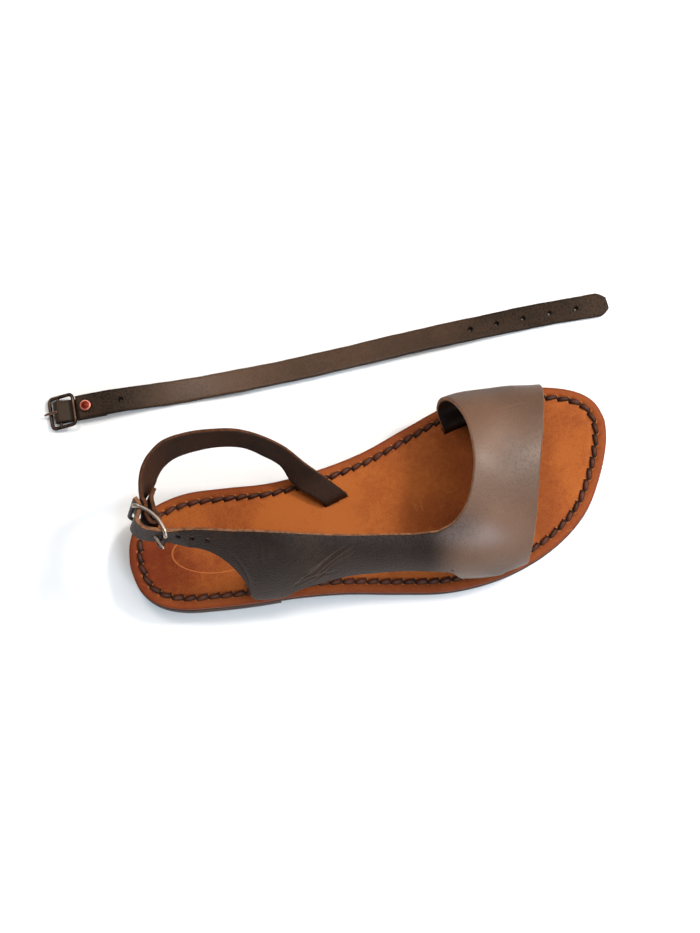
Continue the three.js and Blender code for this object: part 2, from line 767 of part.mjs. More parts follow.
// Slot that lets a prong's eye sit in the leather folded round the bar.
function slotCutter(buckle, frame, side, out) {
  const { a, c } = barPlace(buckle);
  const long = 2 * buckle.wire + 2 * PRONG_WIRE + 2;
  const box = new THREE.BoxGeometry(long, SLOT_WIDTH, 2 * long);
  box.translate(a + PRONG_WIRE / 3, side, c + out);
  return box.applyMatrix4(frame);
}

// The heel strap
function strapRow(upperPoint, lowerPoint) {
  return [0, 0.5, 1].map((t) => upperPoint.clone().lerp(lowerPoint, t));
}

function routePoint(along, y, height) {
  const x = alongToX(along);
  return new THREE.Vector3(x, y * BALL_WIDTH, footbed(x) + height * UPPER_HEIGHT);
}

function heelStrap() {
  const route = refine(STRAP_ROUTE, 2).map((row) => (
    strapRow(routePoint(...row.slice(0, 3)), routePoint(...row.slice(3)))
  ));
  const foot = route[0].map((point) => point.clone().setZ(footbed(point.x) - SLIT_DEPTH));
  const reach = HEEL_BUCKLE.length / 2;
  const half = STRAP_WIDTH / 2;
  const framed = ([a, upperOut, lowerOut]) => strapRow(
    inFrame(HEEL_FRAME, a * reach, -BILLET_LIFT - half, upperOut * reach + BUCKLE_OUT),
    inFrame(HEEL_FRAME, a * reach, -BILLET_LIFT + half, lowerOut * reach + BUCKLE_OUT),
  );
  const bar = barPlace(HEEL_BUCKLE);
  const radius = HEEL_BUCKLE.wire / 2 + CLEARANCE + STRAP_WALL / 2;
  const fold = [60, 90, 120, 150, 180, 210, 240, 270, 300].map((degrees) => {
    const angle = THREE.MathUtils.degToRad(degrees);
    const a = bar.a + radius * Math.cos(angle);
    const out = bar.c + radius * Math.sin(angle);
    return framed([a / reach, out / reach, out / reach]);
  });
  const grid = [foot, ...route, ...STRAP_APPROACH.map(framed), ...fold, ...STRAP_RETURN.map(framed)];
  const slot = slotCutter(HEEL_BUCKLE, HEEL_FRAME, -BILLET_LIFT, BUCKLE_OUT);
  return part('heel_strap', cut(wall(grid, STRAP_WALL), [slot]), 0x5c3522, LEATHER);
}

// The loose ankle strap, lying on the floor
function ankleY(share) {
  const [offset] = sample(ANKLE_CURVE.map((value) => [value]), share * (ANKLE_CURVE.length - 1));
  return ANKLE_OFFSET + offset * BALL_WIDTH;
}

function ankleX(share) {
  return ANKLE_START + share * ANKLE_LENGTH;
}

// Height of the strap's underside: on the chape first, then down to the floor.
function ankleFloor(share) {
  const run = share * ANKLE_LENGTH + ANKLE_BAR_GAP - CHAPE_LENGTH;
  return (CHAPE_TOP + CLEARANCE) * (1 - smooth((run - 2) / (1.6 * CHAPE_LENGTH)));
}

// Height that the strap's outer edge is twisted up by, towards its middle.
function ankleRoll(share) {
  return ANKLE_ROLL * smooth((share - 0.14) / 0.2) * smooth((0.95 - share) / 0.3);
}

function ankleHalfWidth(share) {
  const fromTip = (1 - share) * ANKLE_LENGTH;
  const taper = clamp(1 - fromTip / (ANKLE_WIDTH / 3), 0, 1);
  return (ANKLE_WIDTH / 2) * (1 - 0.45 * taper);
}

function ankleHole(share, diameter) {
  const low = new THREE.Vector3(ankleX(share), ankleY(share), -1);
  const high = low.clone().setZ(CHAPE_TOP + ANKLE_WALL + 2);
  return pin(low, high, diameter / 2);
}

function ankleStrap() {
  const shares = [];
  for (let i = 0; i <= ANKLE_SECTION_COUNT; i += 1) {
    shares.push(i / ANKLE_SECTION_COUNT);
  }
  shares.splice(ANKLE_SECTION_COUNT, 0, 1 - ANKLE_WIDTH / 3 / ANKLE_LENGTH);
  const grid = shares.map((share) => {
    const half = ankleHalfWidth(share);
    const z = ankleFloor(share) + ANKLE_WALL / 2;
    return [-1, 0, 1].map((side) => {
      const twist = (ankleRoll(share) * (1 - side)) / 2;
      return new THREE.Vector3(ankleX(share), ankleY(share) + side * half, z + twist);
    });
  });
  const holes = [ankleHole(ANKLE_LONE_HOLE, ANKLE_HOLE_DIAMETER)];
  for (let i = 0; i < ANKLE_HOLES; i += 1) {
    const fromTip = ANKLE_HOLE_MARGIN + i * ANKLE_HOLE_PITCH;
    holes.push(ankleHole(1 - fromTip / ANKLE_LENGTH, ANKLE_HOLE_DIAMETER));
  }
  holes.push(ankleHole(RIVET_PLACE, RIVET_SHANK + 2 * CLEARANCE));
  return part('ankle_strap', cut(wall(grid, ANKLE_WALL), holes), 0x4a3426, LEATHER);
}

// The ankle buckle's frame, tilted so that its keeper bar clears both chape layers.
function ankleFrame() {
  const buckle = ANKLE_BUCKLE;
  const bar = barPlace(buckle);
  const barHeight = CHAPE_WALL + CLEARANCE + buckle.wire / 2;
  const keeperHeight = CHAPE_TOP + 2 * CLEARANCE + buckle.wire / 2;
  const sine = (keeperHeight - barHeight) / (buckle.length / 2 - bar.a);
  const heading = Math.atan2(ankleY(0.1) - ankleY(0), ankleX(0.1) - ankleX(0));
  const cosine = Math.sqrt(1 - sine * sine);
  const along = new THREE.Vector3(Math.cos(heading) * cosine, Math.sin(heading) * cosine, sine);
  const side = new THREE.Vector3(-Math.sin(heading), Math.cos(heading), 0);
  const out = along.clone().cross(side);
  const barX = ANKLE_START - ANKLE_BAR_GAP;
  const barY = ankleY(0) - ANKLE_BAR_GAP * Math.tan(heading);
  const centre = new THREE.Vector3(barX, barY, barHeight).addScaledVector(along, -bar.a);
  return frameAt(centre, along, out);
}

const ANKLE_FRAME = ankleFrame();

// A short leather loop round the bar, with both ends under the strap.
function ankleChape() {
  const barHeight = CHAPE_WALL + CLEARANCE + ANKLE_BUCKLE.wire / 2;
  const radius = barHeight - CHAPE_WALL / 2;
  const { a } = barPlace(ANKLE_BUCKLE);
  const upperLeg = 1.5 * CHAPE_WALL + CLEARANCE;
  const profile = [[CHAPE_LENGTH, CHAPE_WALL / 2], [CHAPE_LENGTH / 2, CHAPE_WALL / 2]];
  for (let degrees = -90; degrees >= -270; degrees -= 30) {
    const angle = THREE.MathUtils.degToRad(degrees);
    profile.push([radius * Math.cos(angle), barHeight + radius * Math.sin(angle)]);
  }
  profile.push([(ANKLE_BUCKLE.length / 2 - a) * 0.45, (barHeight + radius + upperLeg) / 2]);
  profile.push([(ANKLE_BUCKLE.length / 2 - a) * 0.85, upperLeg]);
  profile.push([CHAPE_LENGTH / 2, upperLeg], [CHAPE_LENGTH, upperLeg]);
  const bar = inFrame(ANKLE_FRAME, a, 0, 0);
  const heading = new THREE.Vector3().setFromMatrixColumn(ANKLE_FRAME, 0).setZ(0).normalize();
  const side = new THREE.Vector3().setFromMatrixColumn(ANKLE_FRAME, 1);
  const grid = profile.map(([run, height]) => [-0.5, 0.5].map((share) => (
    bar.clone().setZ(height).addScaledVector(heading, run).addScaledVector(side, share * CHAPE_WIDTH)
  )));
  const slot = slotCutter(ANKLE_BUCKLE, ANKLE_FRAME, 0, 0);
  const hole = ankleHole(RIVET_PLACE, RIVET_SHANK + 2 * CLEARANCE);
  return part('ankle_chape', cut(wall(grid, CHAPE_WALL), [slot, hole]), 0x3a2a20, LEATHER);
}

function ankleRivet() {
  const seat = CHAPE_TOP + CLEARANCE + ANKLE_WALL + CLEARANCE;
  const head = RIVET_DIAMETER / 2;
  const shank = RIVET_SHANK / 2;
  const profile = [
    [0, CLEARANCE],
    [shank, CLEARANCE],
    [shank, seat],
    [head, seat],
    [head * 0.86, seat + RIVET_RISE * 0.62],
    [head * 0.5, seat + RIVET_RISE * 0.93],
    [0, seat + RIVET_RISE],
  ];
  const lathe = new THREE.LatheGeometry(profile.map(([r, y]) => new THREE.Vector2(r, y)), 20);
  lathe.rotateX(Math.PI / 2);
  lathe.translate(ankleX(RIVET_PLACE), ankleY(RIVET_PLACE), 0);
  return part('ankle_rivet', meshOf(solidOf(lathe)), 0xa4493a, METAL);
}

const heelSide = -BILLET_LIFT;
const sandal = new THREE.Group();
sandal.add(
  heelLift(),
  outsole(),
  insole(),
  edgeLace(),
  upper(),
  heelStrap(),
  part('heel_buckle_frame', buckleGeometry(HEEL_BUCKLE, HEEL_FRAME, BUCKLE_OUT), 0xb9a892, METAL),
  part('heel_buckle_prong', prongGeometry(HEEL_BUCKLE, HEEL_FRAME, heelSide, BUCKLE_OUT), 0xb9a892, METAL),
  ankleStrap(),
  ankleChape(),
  ankleRivet(),
  part('ankle_buckle_frame', buckleGeometry(ANKLE_BUCKLE, ANKLE_FRAME, 0), 0x8d7a68, METAL),
  part('ankle_buckle_prong', prongGeometry(ANKLE_BUCKLE, ANKLE_FRAME, 0, 0), 0x8d7a68, METAL),
);

export default sandal;
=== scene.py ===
"""Looks of a flat leather sandal with its loose ankle strap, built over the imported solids.

Shapes are worked out in millimetres in the part's own frame (+X to the toe, +Y to the
inner side of the foot, +Z up) and written to the meshes in metres.
"""

import logging
import math
from dataclasses import dataclass, field
from enum import Enum
from typing import Callable, Iterable, Sequence

import bpy
import numpy as np
from mathutils import Matrix, Vector


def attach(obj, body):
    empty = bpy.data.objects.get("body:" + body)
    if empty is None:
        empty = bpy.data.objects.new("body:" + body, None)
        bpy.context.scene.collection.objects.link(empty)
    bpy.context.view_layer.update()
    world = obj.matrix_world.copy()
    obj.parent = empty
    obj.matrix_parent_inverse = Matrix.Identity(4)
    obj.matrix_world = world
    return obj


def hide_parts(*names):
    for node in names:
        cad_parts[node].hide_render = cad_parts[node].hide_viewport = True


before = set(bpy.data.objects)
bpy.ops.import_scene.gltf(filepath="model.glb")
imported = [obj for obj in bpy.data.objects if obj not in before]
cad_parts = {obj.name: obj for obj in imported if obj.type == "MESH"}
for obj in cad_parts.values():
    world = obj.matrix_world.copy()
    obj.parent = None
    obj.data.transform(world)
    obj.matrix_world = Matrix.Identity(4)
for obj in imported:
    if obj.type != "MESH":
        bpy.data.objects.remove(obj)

LOG = logging.getLogger("sandal")
MM = 0.001
Array = np.ndarray

# Gap beside a wire, and how far the lace, the slits and the open footbed lie in from
# the sole's edge, in millimetres.
CLEARANCE = 0.35
LACE_INSET = 6.4
SLIT_INSET = 13.0
FIELD_INSET = 14.0
STITCHES = 91


class Body(Enum):
    """Rigid bodies of the part that the visual pieces ride on."""

    SANDAL = "sandal"
    ANKLE_PRONG = "ankle_prong"


def smooth(value: Array | float) -> Array:
    """Eases a value, held to 0..1 first, with a level start and end."""
    t = np.clip(value, 0.0, 1.0)
    return t * t * (3.0 - 2.0 * t)


def sample(table: Sequence | Array, position: Array | float) -> Array:
    """Reads a table of evenly spaced rows as smooth curves.

    Args:
        table: Rows of numbers, or of points.
        position: Where to read, counted in rows.

    Returns:
        One row of values for each position.
    """
    rows = np.asarray(table, float)
    last = len(rows) - 1
    spots = np.atleast_1d(np.asarray(position, float))
    row = np.clip(np.floor(spots).astype(int), 0, last - 1)
    t = np.clip(spots - row, 0.0, 1.0).reshape((-1,) + (1,) * (rows.ndim - 1))
    p0, p1, p2, p3 = (rows[np.clip(row + k, 0, last)] for k in (-1, 0, 1, 2))
    bend = 2 * p0 - 5 * p1 + 4 * p2 - p3
    twist = 3 * p1 - p0 - 3 * p2 + p3
    return p1 + 0.5 * t * (p2 - p0 + t * (bend + t * twist))


def refine(table: Sequence | Array, step: float) -> Array:
    """Resamples rows of points so that no gap is longer than a step.

    Args:
        table: Rows of points, shaped (rows, columns, 3).
        step: Longest gap wanted, in the points' own unit.

    Returns:
        The denser rows, which pass through all the given ones.
    """
    rows = np.asarray(table, float)
    gaps = np.linalg.norm(np.diff(rows, axis=0), axis=2).max(axis=1)
    places = [np.array([0.0])]
    for i, gap in enumerate(gaps):
        steps = max(1, math.ceil(gap / step))
        places.append(i + np.arange(1, steps + 1) / steps)
    return sample(rows, np.concatenate(places))


def unit(vectors: Array) -> Array:
    """Scales vectors, which lie in the last axis, to length one."""
    length = np.linalg.norm(vectors, axis=-1, keepdims=True)
    return vectors / np.maximum(length, 1e-9)


def spread(curve: Array, columns: int, weight: float) -> Array:
    """Places points along a curve, closer together where it bends.

    Args:
        curve: Points of the drawn curve.
        columns: Number of gaps between the placed points.
        weight: Length that one radian of bend counts for.

    Returns:
        The placed points, ends included.
    """
    steps = np.diff(curve, axis=0)
    length = np.linalg.norm(steps, axis=1)
    turn = np.zeros(len(steps))
    cosine = np.sum(unit(steps[1:]) * unit(steps[:-1]), axis=1)
    turn[1:] = np.arccos(np.clip(cosine, -1.0, 1.0))
    reach = np.concatenate([[0.0], np.cumsum(length + weight * turn)])
    goals = np.linspace(0.0, reach[-1], columns + 1)
    return np.column_stack([np.interp(goals, reach, curve[:, k]) for k in range(3)])


def path_length(points: Array, closed: bool = False) -> Array:
    """Measures the way along a row of points, up to each of them.

    Args:
        points: The points.
        closed: Whether the row goes on from its last point to its first.

    Returns:
        The lengths from 0 on, with one more value for a closed row.
    """
    steps = np.roll(points, -1, axis=0) - points if closed else np.diff(points, axis=0)
    return np.concatenate([[0.0], np.cumsum(np.linalg.norm(steps, axis=1))])


def line_distance(points: Array, line: Array) -> tuple[Array, Array]:
    """Measures how far points are from a polyline.

    Args:
        points: Points, shaped (count, 3).
        line: Corners of the polyline.

    Returns:
        The distances, and the nearest places along the line as shares of its length.
    """
    best = np.full(len(points), 1e9)
    place = np.zeros(len(points))
    lengths = np.linalg.norm(np.diff(line, axis=0), axis=1)
    starts = np.concatenate([[0.0], np.cumsum(lengths)])
    for a, b, length, start in zip(line[:-1], line[1:], lengths, starts):
        t = np.clip((points - a) @ (b - a) / max(length * length, 1e-9), 0.0, 1.0)
        distance = np.linalg.norm(points - (a + t[:, None] * (b - a)), axis=1)
        nearer = distance < best
        best = np.where(nearer, distance, best)
        place = np.where(nearer, (start + t * length) / starts[-1], place)
    return best, place


@dataclass
class Surface:
    """A mesh in the making: points in millimetres, faces and named point values."""

    points: Array
    faces: list[tuple[int, ...]]
    values: dict[str, Array] = field(default_factory=dict)

    def joined(self, other: "Surface") -> "Surface":
        """Puts another surface beside this one.

        Args:
            other: The surface to add.

        Returns:
            One surface with the points and faces of both.
        """
        count = len(self.points)
        faces = self.faces + [tuple(i + count for i in face) for face in other.faces]
        values = {}
        for name in sorted(set(self.values) | set(other.values)):
            mine = self.values.get(name, np.zeros(count))
            theirs = other.values.get(name, np.zeros(len(other.points)))
            values[name] = np.concatenate([mine, theirs])
        return Surface(np.vstack([self.points, other.points]), faces, values)

    def to_object(self, name: str) -> bpy.types.Object:
        """Writes the surface as a smooth-shaded object.

        Args:
            name: Name of the object.

        Returns:
            The object, linked to the scene.
        """
        mesh = bpy.data.meshes.new(name)
        mesh.from_pydata((self.points * MM).tolist(), [], self.faces)
        for key, values in self.values.items():
            layer = mesh.attributes.new(key, "FLOAT", "POINT")
            layer.data.foreach_set("value", np.asarray(values, np.float32))
        mesh.validate()
        mesh.shade_smooth()
        made = bpy.data.objects.new(name, mesh)
        bpy.context.scene.collection.objects.link(made)
        return made


def loft(sections: Array, ring: bool = False) -> Surface:
    """Skins a row of closed sections.

    Args:
        sections: Points shaped (sections, points around, 3).
        ring: Whether the last section joins the first one; otherwise ends are capped.

    Returns:
        The closed surface.
    """
    count, around = sections.shape[:2]
    faces: list[tuple[int, ...]] = []
    for i in range(count if ring else count - 1):
        here, ahead = i * around, ((i + 1) % count) * around
        for j in range(around):
            k = (j + 1) % around
            faces.append((here + j, here + k, ahead + k, ahead + j))
    if not ring:
        end = (count - 1) * around
        faces.append(tuple(reversed(range(around))))
        faces.append(tuple(end + j for j in range(around)))
    return outward(Surface(sections.reshape(-1, 3), faces))


def outward(surface: Surface) -> Surface:
    """Turns the faces of a closed surface so that they point out.

    Args:
        surface: A closed surface.

    Returns:
        The same surface, with its faces flipped where that was needed.
    """
    volume = 0.0
    points = surface.points - surface.points.mean(axis=0)
    for face in surface.faces:
        a = points[face[0]]
        for j in range(1, len(face) - 1):
            volume += float(np.dot(a, np.cross(points[face[j]], points[face[j + 1]])))
    if volume < 0:
        surface.faces = [tuple(reversed(face)) for face in surface.faces]
    return surface


def relax(grid: Array, times: int) -> Array:
    """Evens out the rows of a grid against their neighbours.

    Args:
        grid: Points, shaped (rows, columns, 3).
        times: How often the rows are evened out.

    Returns:
        The grid, with its first and last rows as they were.
    """
    even = np.array(grid, float)
    for _ in range(times):
        even[1:-1] = 0.25 * even[:-2] + 0.5 * even[1:-1] + 0.25 * even[2:]
    return even


# Height across a cut edge of leather, and how far it bulges, for each edge point.
EDGE_ARC = ((0.72, 0.30), (0.0, 0.42), (-0.72, 0.30))


def thick_sheet(grid: Array, thickness: float, relief: Array | None = None) -> Surface:
    """Gives a grid of points a leather wall with softly rounded cut edges.

    The values "flesh" (the side that the normals point away from) and "cut_edge"
    are stored with the points.

    Args:
        grid: Middle surface, shaped (rows, columns, 3).
        thickness: Thickness of the wall.
        relief: Extra height of the outer face at each grid point.

    Returns:
        The closed sheet.
    """
    along = np.gradient(grid, axis=0)
    across = np.gradient(grid, axis=1)
    normal = unit(np.cross(along, across))
    lift = np.zeros(grid.shape[:2]) if relief is None else relief
    half = thickness / 2
    outer = grid + normal * (half + lift)[..., None]
    inner = grid - normal * (half - 0.55 * lift)[..., None]
    rows = grid.shape[0]
    parts = [outer]
    flags = [np.zeros(outer.shape[:2])]
    edges = [np.zeros(outer.shape[:2])]
    for border, inside, run in ((-1, -2, EDGE_ARC), (0, 1, tuple(reversed(EDGE_ARC)))):
        away = unit(grid[:, border] - grid[:, inside])
        arc = [
            grid[:, border] + normal[:, border] * (share * half) + away * (bulge * half)
            for share, bulge in run
        ]
        if border == 0:
            parts.append(inner[:, ::-1])
            flags.append(np.ones(inner.shape[:2]))
            edges.append(np.zeros(inner.shape[:2]))
        parts.append(np.stack(arc, axis=1))
        flags.append(np.zeros((rows, len(run))))
        edges.append(np.ones((rows, len(run))))
    surface = loft(np.concatenate(parts, axis=1))
    surface.values["flesh"] = np.concatenate(flags, axis=1).ravel()
    surface.values["cut_edge"] = np.concatenate(edges, axis=1).ravel()
    return surface


def sweep(
    line: Array,
    radii: Array | float,
    sides: int = 16,
    ring: bool = False,
    flat: float = 1.0,
    level: Array | None = None,
) -> Surface:
    """Draws round wire along a line.

    Args:
        line: Centre points of the wire.
        radii: Radius at each point, or one for all.
        sides: Points round the wire.
        ring: Whether the wire closes on itself.
        flat: Height of the section as a share of its width.
        level: Direction across the line that one side keeps, for a line in one plane.

    Returns:
        The closed surface of the wire.
    """
    if ring:
        ahead, behind = np.roll(line, -1, axis=0), np.roll(line, 1, axis=0)
        tangent = unit(ahead - behind)
    else:
        tangent = unit(np.gradient(line, axis=0))
    if level is None:
        side = unit(np.cross(tangent, np.array([0.0, 0.0, 1.0])))
        top = np.cross(side, tangent)
    else:
        side = np.broadcast_to(level, tangent.shape)
        top = np.cross(tangent, side)
    angle = np.linspace(0.0, 2 * math.pi, sides, endpoint=False)[:, None]
    radius = np.broadcast_to(np.asarray(radii, float), (len(line),))[:, None, None]
    across = side[:, None] * np.cos(angle) + top[:, None] * (flat * np.sin(angle))
    return loft(line[:, None] + across * radius, ring)


def lathe(profile: Sequence[tuple[float, float]], sides: int = 40) -> Surface:
    """Turns a profile round the Z axis.

    Args:
        profile: Radius and height pairs, starting and ending on the axis.
        sides: Points round the axis.

    Returns:
        The closed surface.
    """
    angle = np.linspace(0.0, 2 * math.pi, sides, endpoint=False)
    rings = [
        np.column_stack([r * np.cos(angle), r * np.sin(angle), np.full(sides, z)])
        for r, z in profile
    ]
    return loft(np.stack(rings))


def cut_holes(target: bpy.types.Object, cutters: Iterable[Surface]) -> None:
    """Cuts closed shapes out of an object.

    Args:
        target: The object to cut.
        cutters: Closed surfaces that don't touch one another.
    """
    whole: Surface | None = None
    for cutter in cutters:
        whole = cutter if whole is None else whole.joined(cutter)
    if whole is None:
        return
    tool = whole.to_object("cutter")
    modifier = target.modifiers.new("cut", "BOOLEAN")
    modifier.operation = "DIFFERENCE"
    modifier.solver = "MANIFOLD"
    modifier.object = tool
    graph = bpy.context.evaluated_depsgraph_get()
    mesh = bpy.data.meshes.new_from_object(target.evaluated_get(graph))
    target.modifiers.remove(modifier)
    mesh.materials.clear()
    old = target.data
    target.data = mesh
    bpy.data.meshes.remove(old)
    bpy.data.objects.remove(tool)


def pin(
    start: Array, end: Array, radius: float, sides: int = 24, last: float | None = None
) -> Surface:
    """A plain round pin between two points.

    Args:
        start: One end.
        end: The other end.
        radius: Radius of the pin.
        sides: Points round it.
        last: Radius at the end, where the pin is tapered.

    Returns:
        The closed surface.
    """
    axis = unit(end - start)
    spare = np.array([1.0, 0.0, 0.0]) if abs(axis[0]) < 0.8 else np.array([0.0, 1.0, 0.0])
    side = unit(np.cross(axis, spare))
    top = np.cross(axis, side)
    angle = np.linspace(0.0, 2 * math.pi, sides, endpoint=False)[:, None]
    ring = side * np.cos(angle) + top * np.sin(angle)
    wide = radius if last is None else last
    return loft(np.stack([start + ring * radius, end + ring * wide]))


def slot(route: Array, half_width: float, low: float, high: float) -> Surface:
    """A tall narrow cutter along a route in plan.

    Args:
        route: Points of the route, shaped (count, 2).
        half_width: Half of the slot's width.
        low: Height of its underside.
        high: Height of its top.

    Returns:
        The closed surface.
    """
    run = unit(np.gradient(route, axis=0))
    side = np.column_stack([-run[:, 1], run[:, 0]]) * half_width
    left, right = route + side, route - side
    corners = ((left, low), (right, low), (right, high), (left, high))
    sections = [np.column_stack([edge, np.full(len(route), z)]) for edge, z in corners]
    return loft(np.stack(sections, axis=1))


class Graph:
    """Adds nodes to a tree and links them by their named sockets."""

    def __init__(self, tree: bpy.types.NodeTree) -> None:
        """Starts on the tree of a material or of a node group."""
        self.tree = tree
        self.column = 0

    def add(self, kind: str, inputs: dict | None = None, **settings: object) -> bpy.types.Node:
        """Adds one node.

        Args:
            kind: Node type, without its "ShaderNode" start.
            inputs: Values or sockets by input name or number.
            **settings: Properties of the node.

        Returns:
            The node.
        """
        node = self.tree.nodes.new(f"ShaderNode{kind}")
        node.location = (self.column * 190, -(self.column % 3) * 160)
        self.column += 1
        for key, value in settings.items():
            setattr(node, key, value)
        for key, value in (inputs or {}).items():
            self.plug(node.inputs[key], value)
        return node

    def plug(self, socket: bpy.types.NodeSocket, value: object) -> None:
        """Sets an input, or links it.

        Args:
            socket: The input.
            value: A number, a colour or an output socket.
        """
        if isinstance(value, bpy.types.NodeSocket):
            self.tree.links.new(value, socket)
        else:
            socket.default_value = value

    def math(self, operation: str, *values: object, clamp: bool = False) -> bpy.types.NodeSocket:
        """Adds a math node.

        Args:
            operation: Its operation.
            *values: Its inputs in order.
            clamp: Whether the result is held in 0..1.

        Returns:
            Its output.
        """
        node = self.add("Math", operation=operation, use_clamp=clamp)
        for socket, value in zip(node.inputs, values):
            self.plug(socket, value)
        return node.outputs["Value"]

    def mix(self, factor: object, first: object, second: object) -> bpy.types.NodeSocket:
        """Mixes two colours.

        Args:
            factor: Share of the second one.
            first: First colour.
            second: Second colour.

        Returns:
            The mixed colour.
        """
        node = self.add("Mix", data_type="RGBA")
        self.plug(node.inputs["Factor"], factor)
        self.plug(node.inputs[6], first)
        self.plug(node.inputs[7], second)
        return node.outputs[2]

    def ramp(self, value: object, low: float, high: float) -> bpy.types.NodeSocket:
        """Eases a value from 0 at one level to 1 at another.

        Args:
            value: The value.
            low: Level that gives 0.
            high: Level that gives 1.

        Returns:
            The eased value.
        """
        node = self.add("MapRange", interpolation_type="SMOOTHSTEP")
        self.plug(node.inputs["Value"], value)
        self.plug(node.inputs["From Min"], low)
        self.plug(node.inputs["From Max"], high)
        return node.outputs["Result"]

    def noise(self, vector: object, scale: object, detail: float = 4.0) -> bpy.types.NodeSocket:
        """Adds a noise texture, with its scale per metre, and gives its value."""
        node = self.add("TexNoise", {"Vector": vector, "Scale": scale, "Detail": detail})
        return node.outputs["Fac"]

    def attribute(self, name: str) -> bpy.types.NodeSocket:
        """Reads a named point value."""
        return self.add("Attribute", attribute_name=name).outputs["Fac"]

    def place(self) -> bpy.types.NodeSocket:
        """Reads the object's own coordinates, in metres."""
        return self.add("TexCoord").outputs["Object"]


Socket = tuple[str, str, object]


def node_group(
    name: str,
    inputs: Sequence[Socket],
    outputs: Sequence[tuple[str, str]],
    build: Callable[[Graph, dict], dict],
) -> bpy.types.NodeTree:
    """Makes a shader node group with named sockets.

    Args:
        name: Name of the group.
        inputs: Name, socket type and default value of each input.
        outputs: Name and socket type of each output.
        build: Function that takes the graph and the inputs and gives the outputs.

    Returns:
        The group's tree.
    """
    tree = bpy.data.node_groups.new(name, "ShaderNodeTree")
    for label, kind, default in inputs:
        socket = tree.interface.new_socket(label, in_out="INPUT", socket_type=kind)
        if default is not None:
            socket.default_value = default
    for label, kind in outputs:
        tree.interface.new_socket(label, in_out="OUTPUT", socket_type=kind)
    graph = Graph(tree)
    entry = tree.nodes.new("NodeGroupInput")
    leave = tree.nodes.new("NodeGroupOutput")
    results = build(graph, {label: entry.outputs[label] for label, _, _ in inputs})
    for label, socket in results.items():
        tree.links.new(socket, leave.inputs[label])
    leave.location = (graph.column * 190 + 200, 0)
    return tree


FLOAT = "NodeSocketFloat"
COLOR = "NodeSocketColor"
VECTOR = "NodeSocketVector"


def _grain(graph: Graph, given: dict) -> dict:
    """Fills the group that gives leather its pores, fibres and blotches.

    Args:
        graph: The group's graph.
        given: Its input sockets by name.

    Returns:
        Its output sockets by name.
    """
    vector = given["Vector"]
    cells = graph.add("TexVoronoi", {"Vector": vector, "Scale": given["Pore Scale"]})
    pores = graph.ramp(cells.outputs["Distance"], 0.0, 0.55)
    fine = graph.noise(vector, graph.math("MULTIPLY", given["Pore Scale"], 2.3), 3.0)
    fibre = graph.noise(vector, graph.math("MULTIPLY", given["Pore Scale"], 0.45), 5.0)
    fabric = graph.math("MULTIPLY_ADD", fine, 0.35, graph.math("MULTIPLY", fibre, 0.65))
    height = graph.add("Mix", data_type="FLOAT")
    graph.plug(height.inputs["Factor"], given["Nap"])
    graph.plug(height.inputs[2], pores)
    graph.plug(height.inputs[3], fabric)
    blotch = graph.noise(vector, given["Blotch Scale"], 5.0)
    speck = graph.noise(vector, graph.math("MULTIPLY", given["Blotch Scale"], 9.0), 3.0)
    both = graph.math("MULTIPLY_ADD", speck, 0.3, graph.math("MULTIPLY", blotch, 0.7))
    return {"Height": height.outputs[0], "Blotch": graph.ramp(both, 0.36, 0.64)}


def _scuffs(graph: Graph, given: dict) -> dict:
    """Fills the group that gives sparse fine scratches and rubbed spots.

    Args:
        graph: The group's graph.
        given: Its input sockets by name.

    Returns:
        Its output sockets by name.
    """
    stretched = graph.add("Mapping", {"Vector": given["Vector"], "Scale": (1.0, 7.0, 2.0)})
    turned = graph.add(
        "Mapping",
        {"Vector": given["Vector"], "Rotation": (0.0, 0.0, 0.9), "Scale": (8.0, 1.0, 2.0)},
    )
    lines = graph.noise(stretched.outputs["Vector"], given["Scale"], 2.0)
    others = graph.noise(turned.outputs["Vector"], given["Scale"], 2.0)
    first = graph.ramp(lines, 0.70, 0.78)
    second = graph.ramp(others, 0.71, 0.79)
    return {"Mask": graph.math("MULTIPLY", graph.math("MAXIMUM", first, second), given["Amount"])}


def _cut_edge(graph: Graph, given: dict) -> dict:
    """Fills the group that colours the raw cut edge of leather.

    Args:
        graph: The group's graph.
        given: Its input sockets by name.

    Returns:
        Its output sockets by name.
    """
    rough = graph.noise(given["Vector"], 900.0, 3.0)
    shifted = graph.math("MULTIPLY_ADD", rough, 0.7, -0.35)
    ragged = graph.math("ADD", given["Edge"], shifted)
    mask = graph.math("MULTIPLY", graph.ramp(ragged, 0.34, 0.72), given["Amount"])
    fibre = graph.noise(given["Vector"], 420.0, 4.0)
    dark = graph.mix(0.55, given["Edge Color"], given["Base Color"])
    edge = graph.mix(graph.ramp(fibre, 0.35, 0.65), dark, given["Edge Color"])
    return {"Color": graph.mix(mask, given["Base Color"], edge), "Mask": mask}


class Effects:
    """Node groups that several finishes share."""

    def __init__(self) -> None:
        """Builds the groups."""
        self.grain = node_group(
            "Leather Grain",
            [
                ("Vector", VECTOR, None),
                ("Pore Scale", FLOAT, 1400.0),
                ("Nap", FLOAT, 0.0),
                ("Blotch Scale", FLOAT, 30.0),
            ],
            [("Height", FLOAT), ("Blotch", FLOAT)],
            _grain,
        )
        self.scuffs = node_group(
            "Scuffs",
            [("Vector", VECTOR, None), ("Scale", FLOAT, 60.0), ("Amount", FLOAT, 0.5)],
            [("Mask", FLOAT)],
            _scuffs,
        )
        self.cut_edge = node_group(
            "Cut Edge",
            [
                ("Vector", VECTOR, None),
                ("Edge", FLOAT, 0.0),
                ("Amount", FLOAT, 1.0),
                ("Base Color", COLOR, None),
                ("Edge Color", COLOR, None),
            ],
            [("Color", COLOR), ("Mask", FLOAT)],
            _cut_edge,
        )


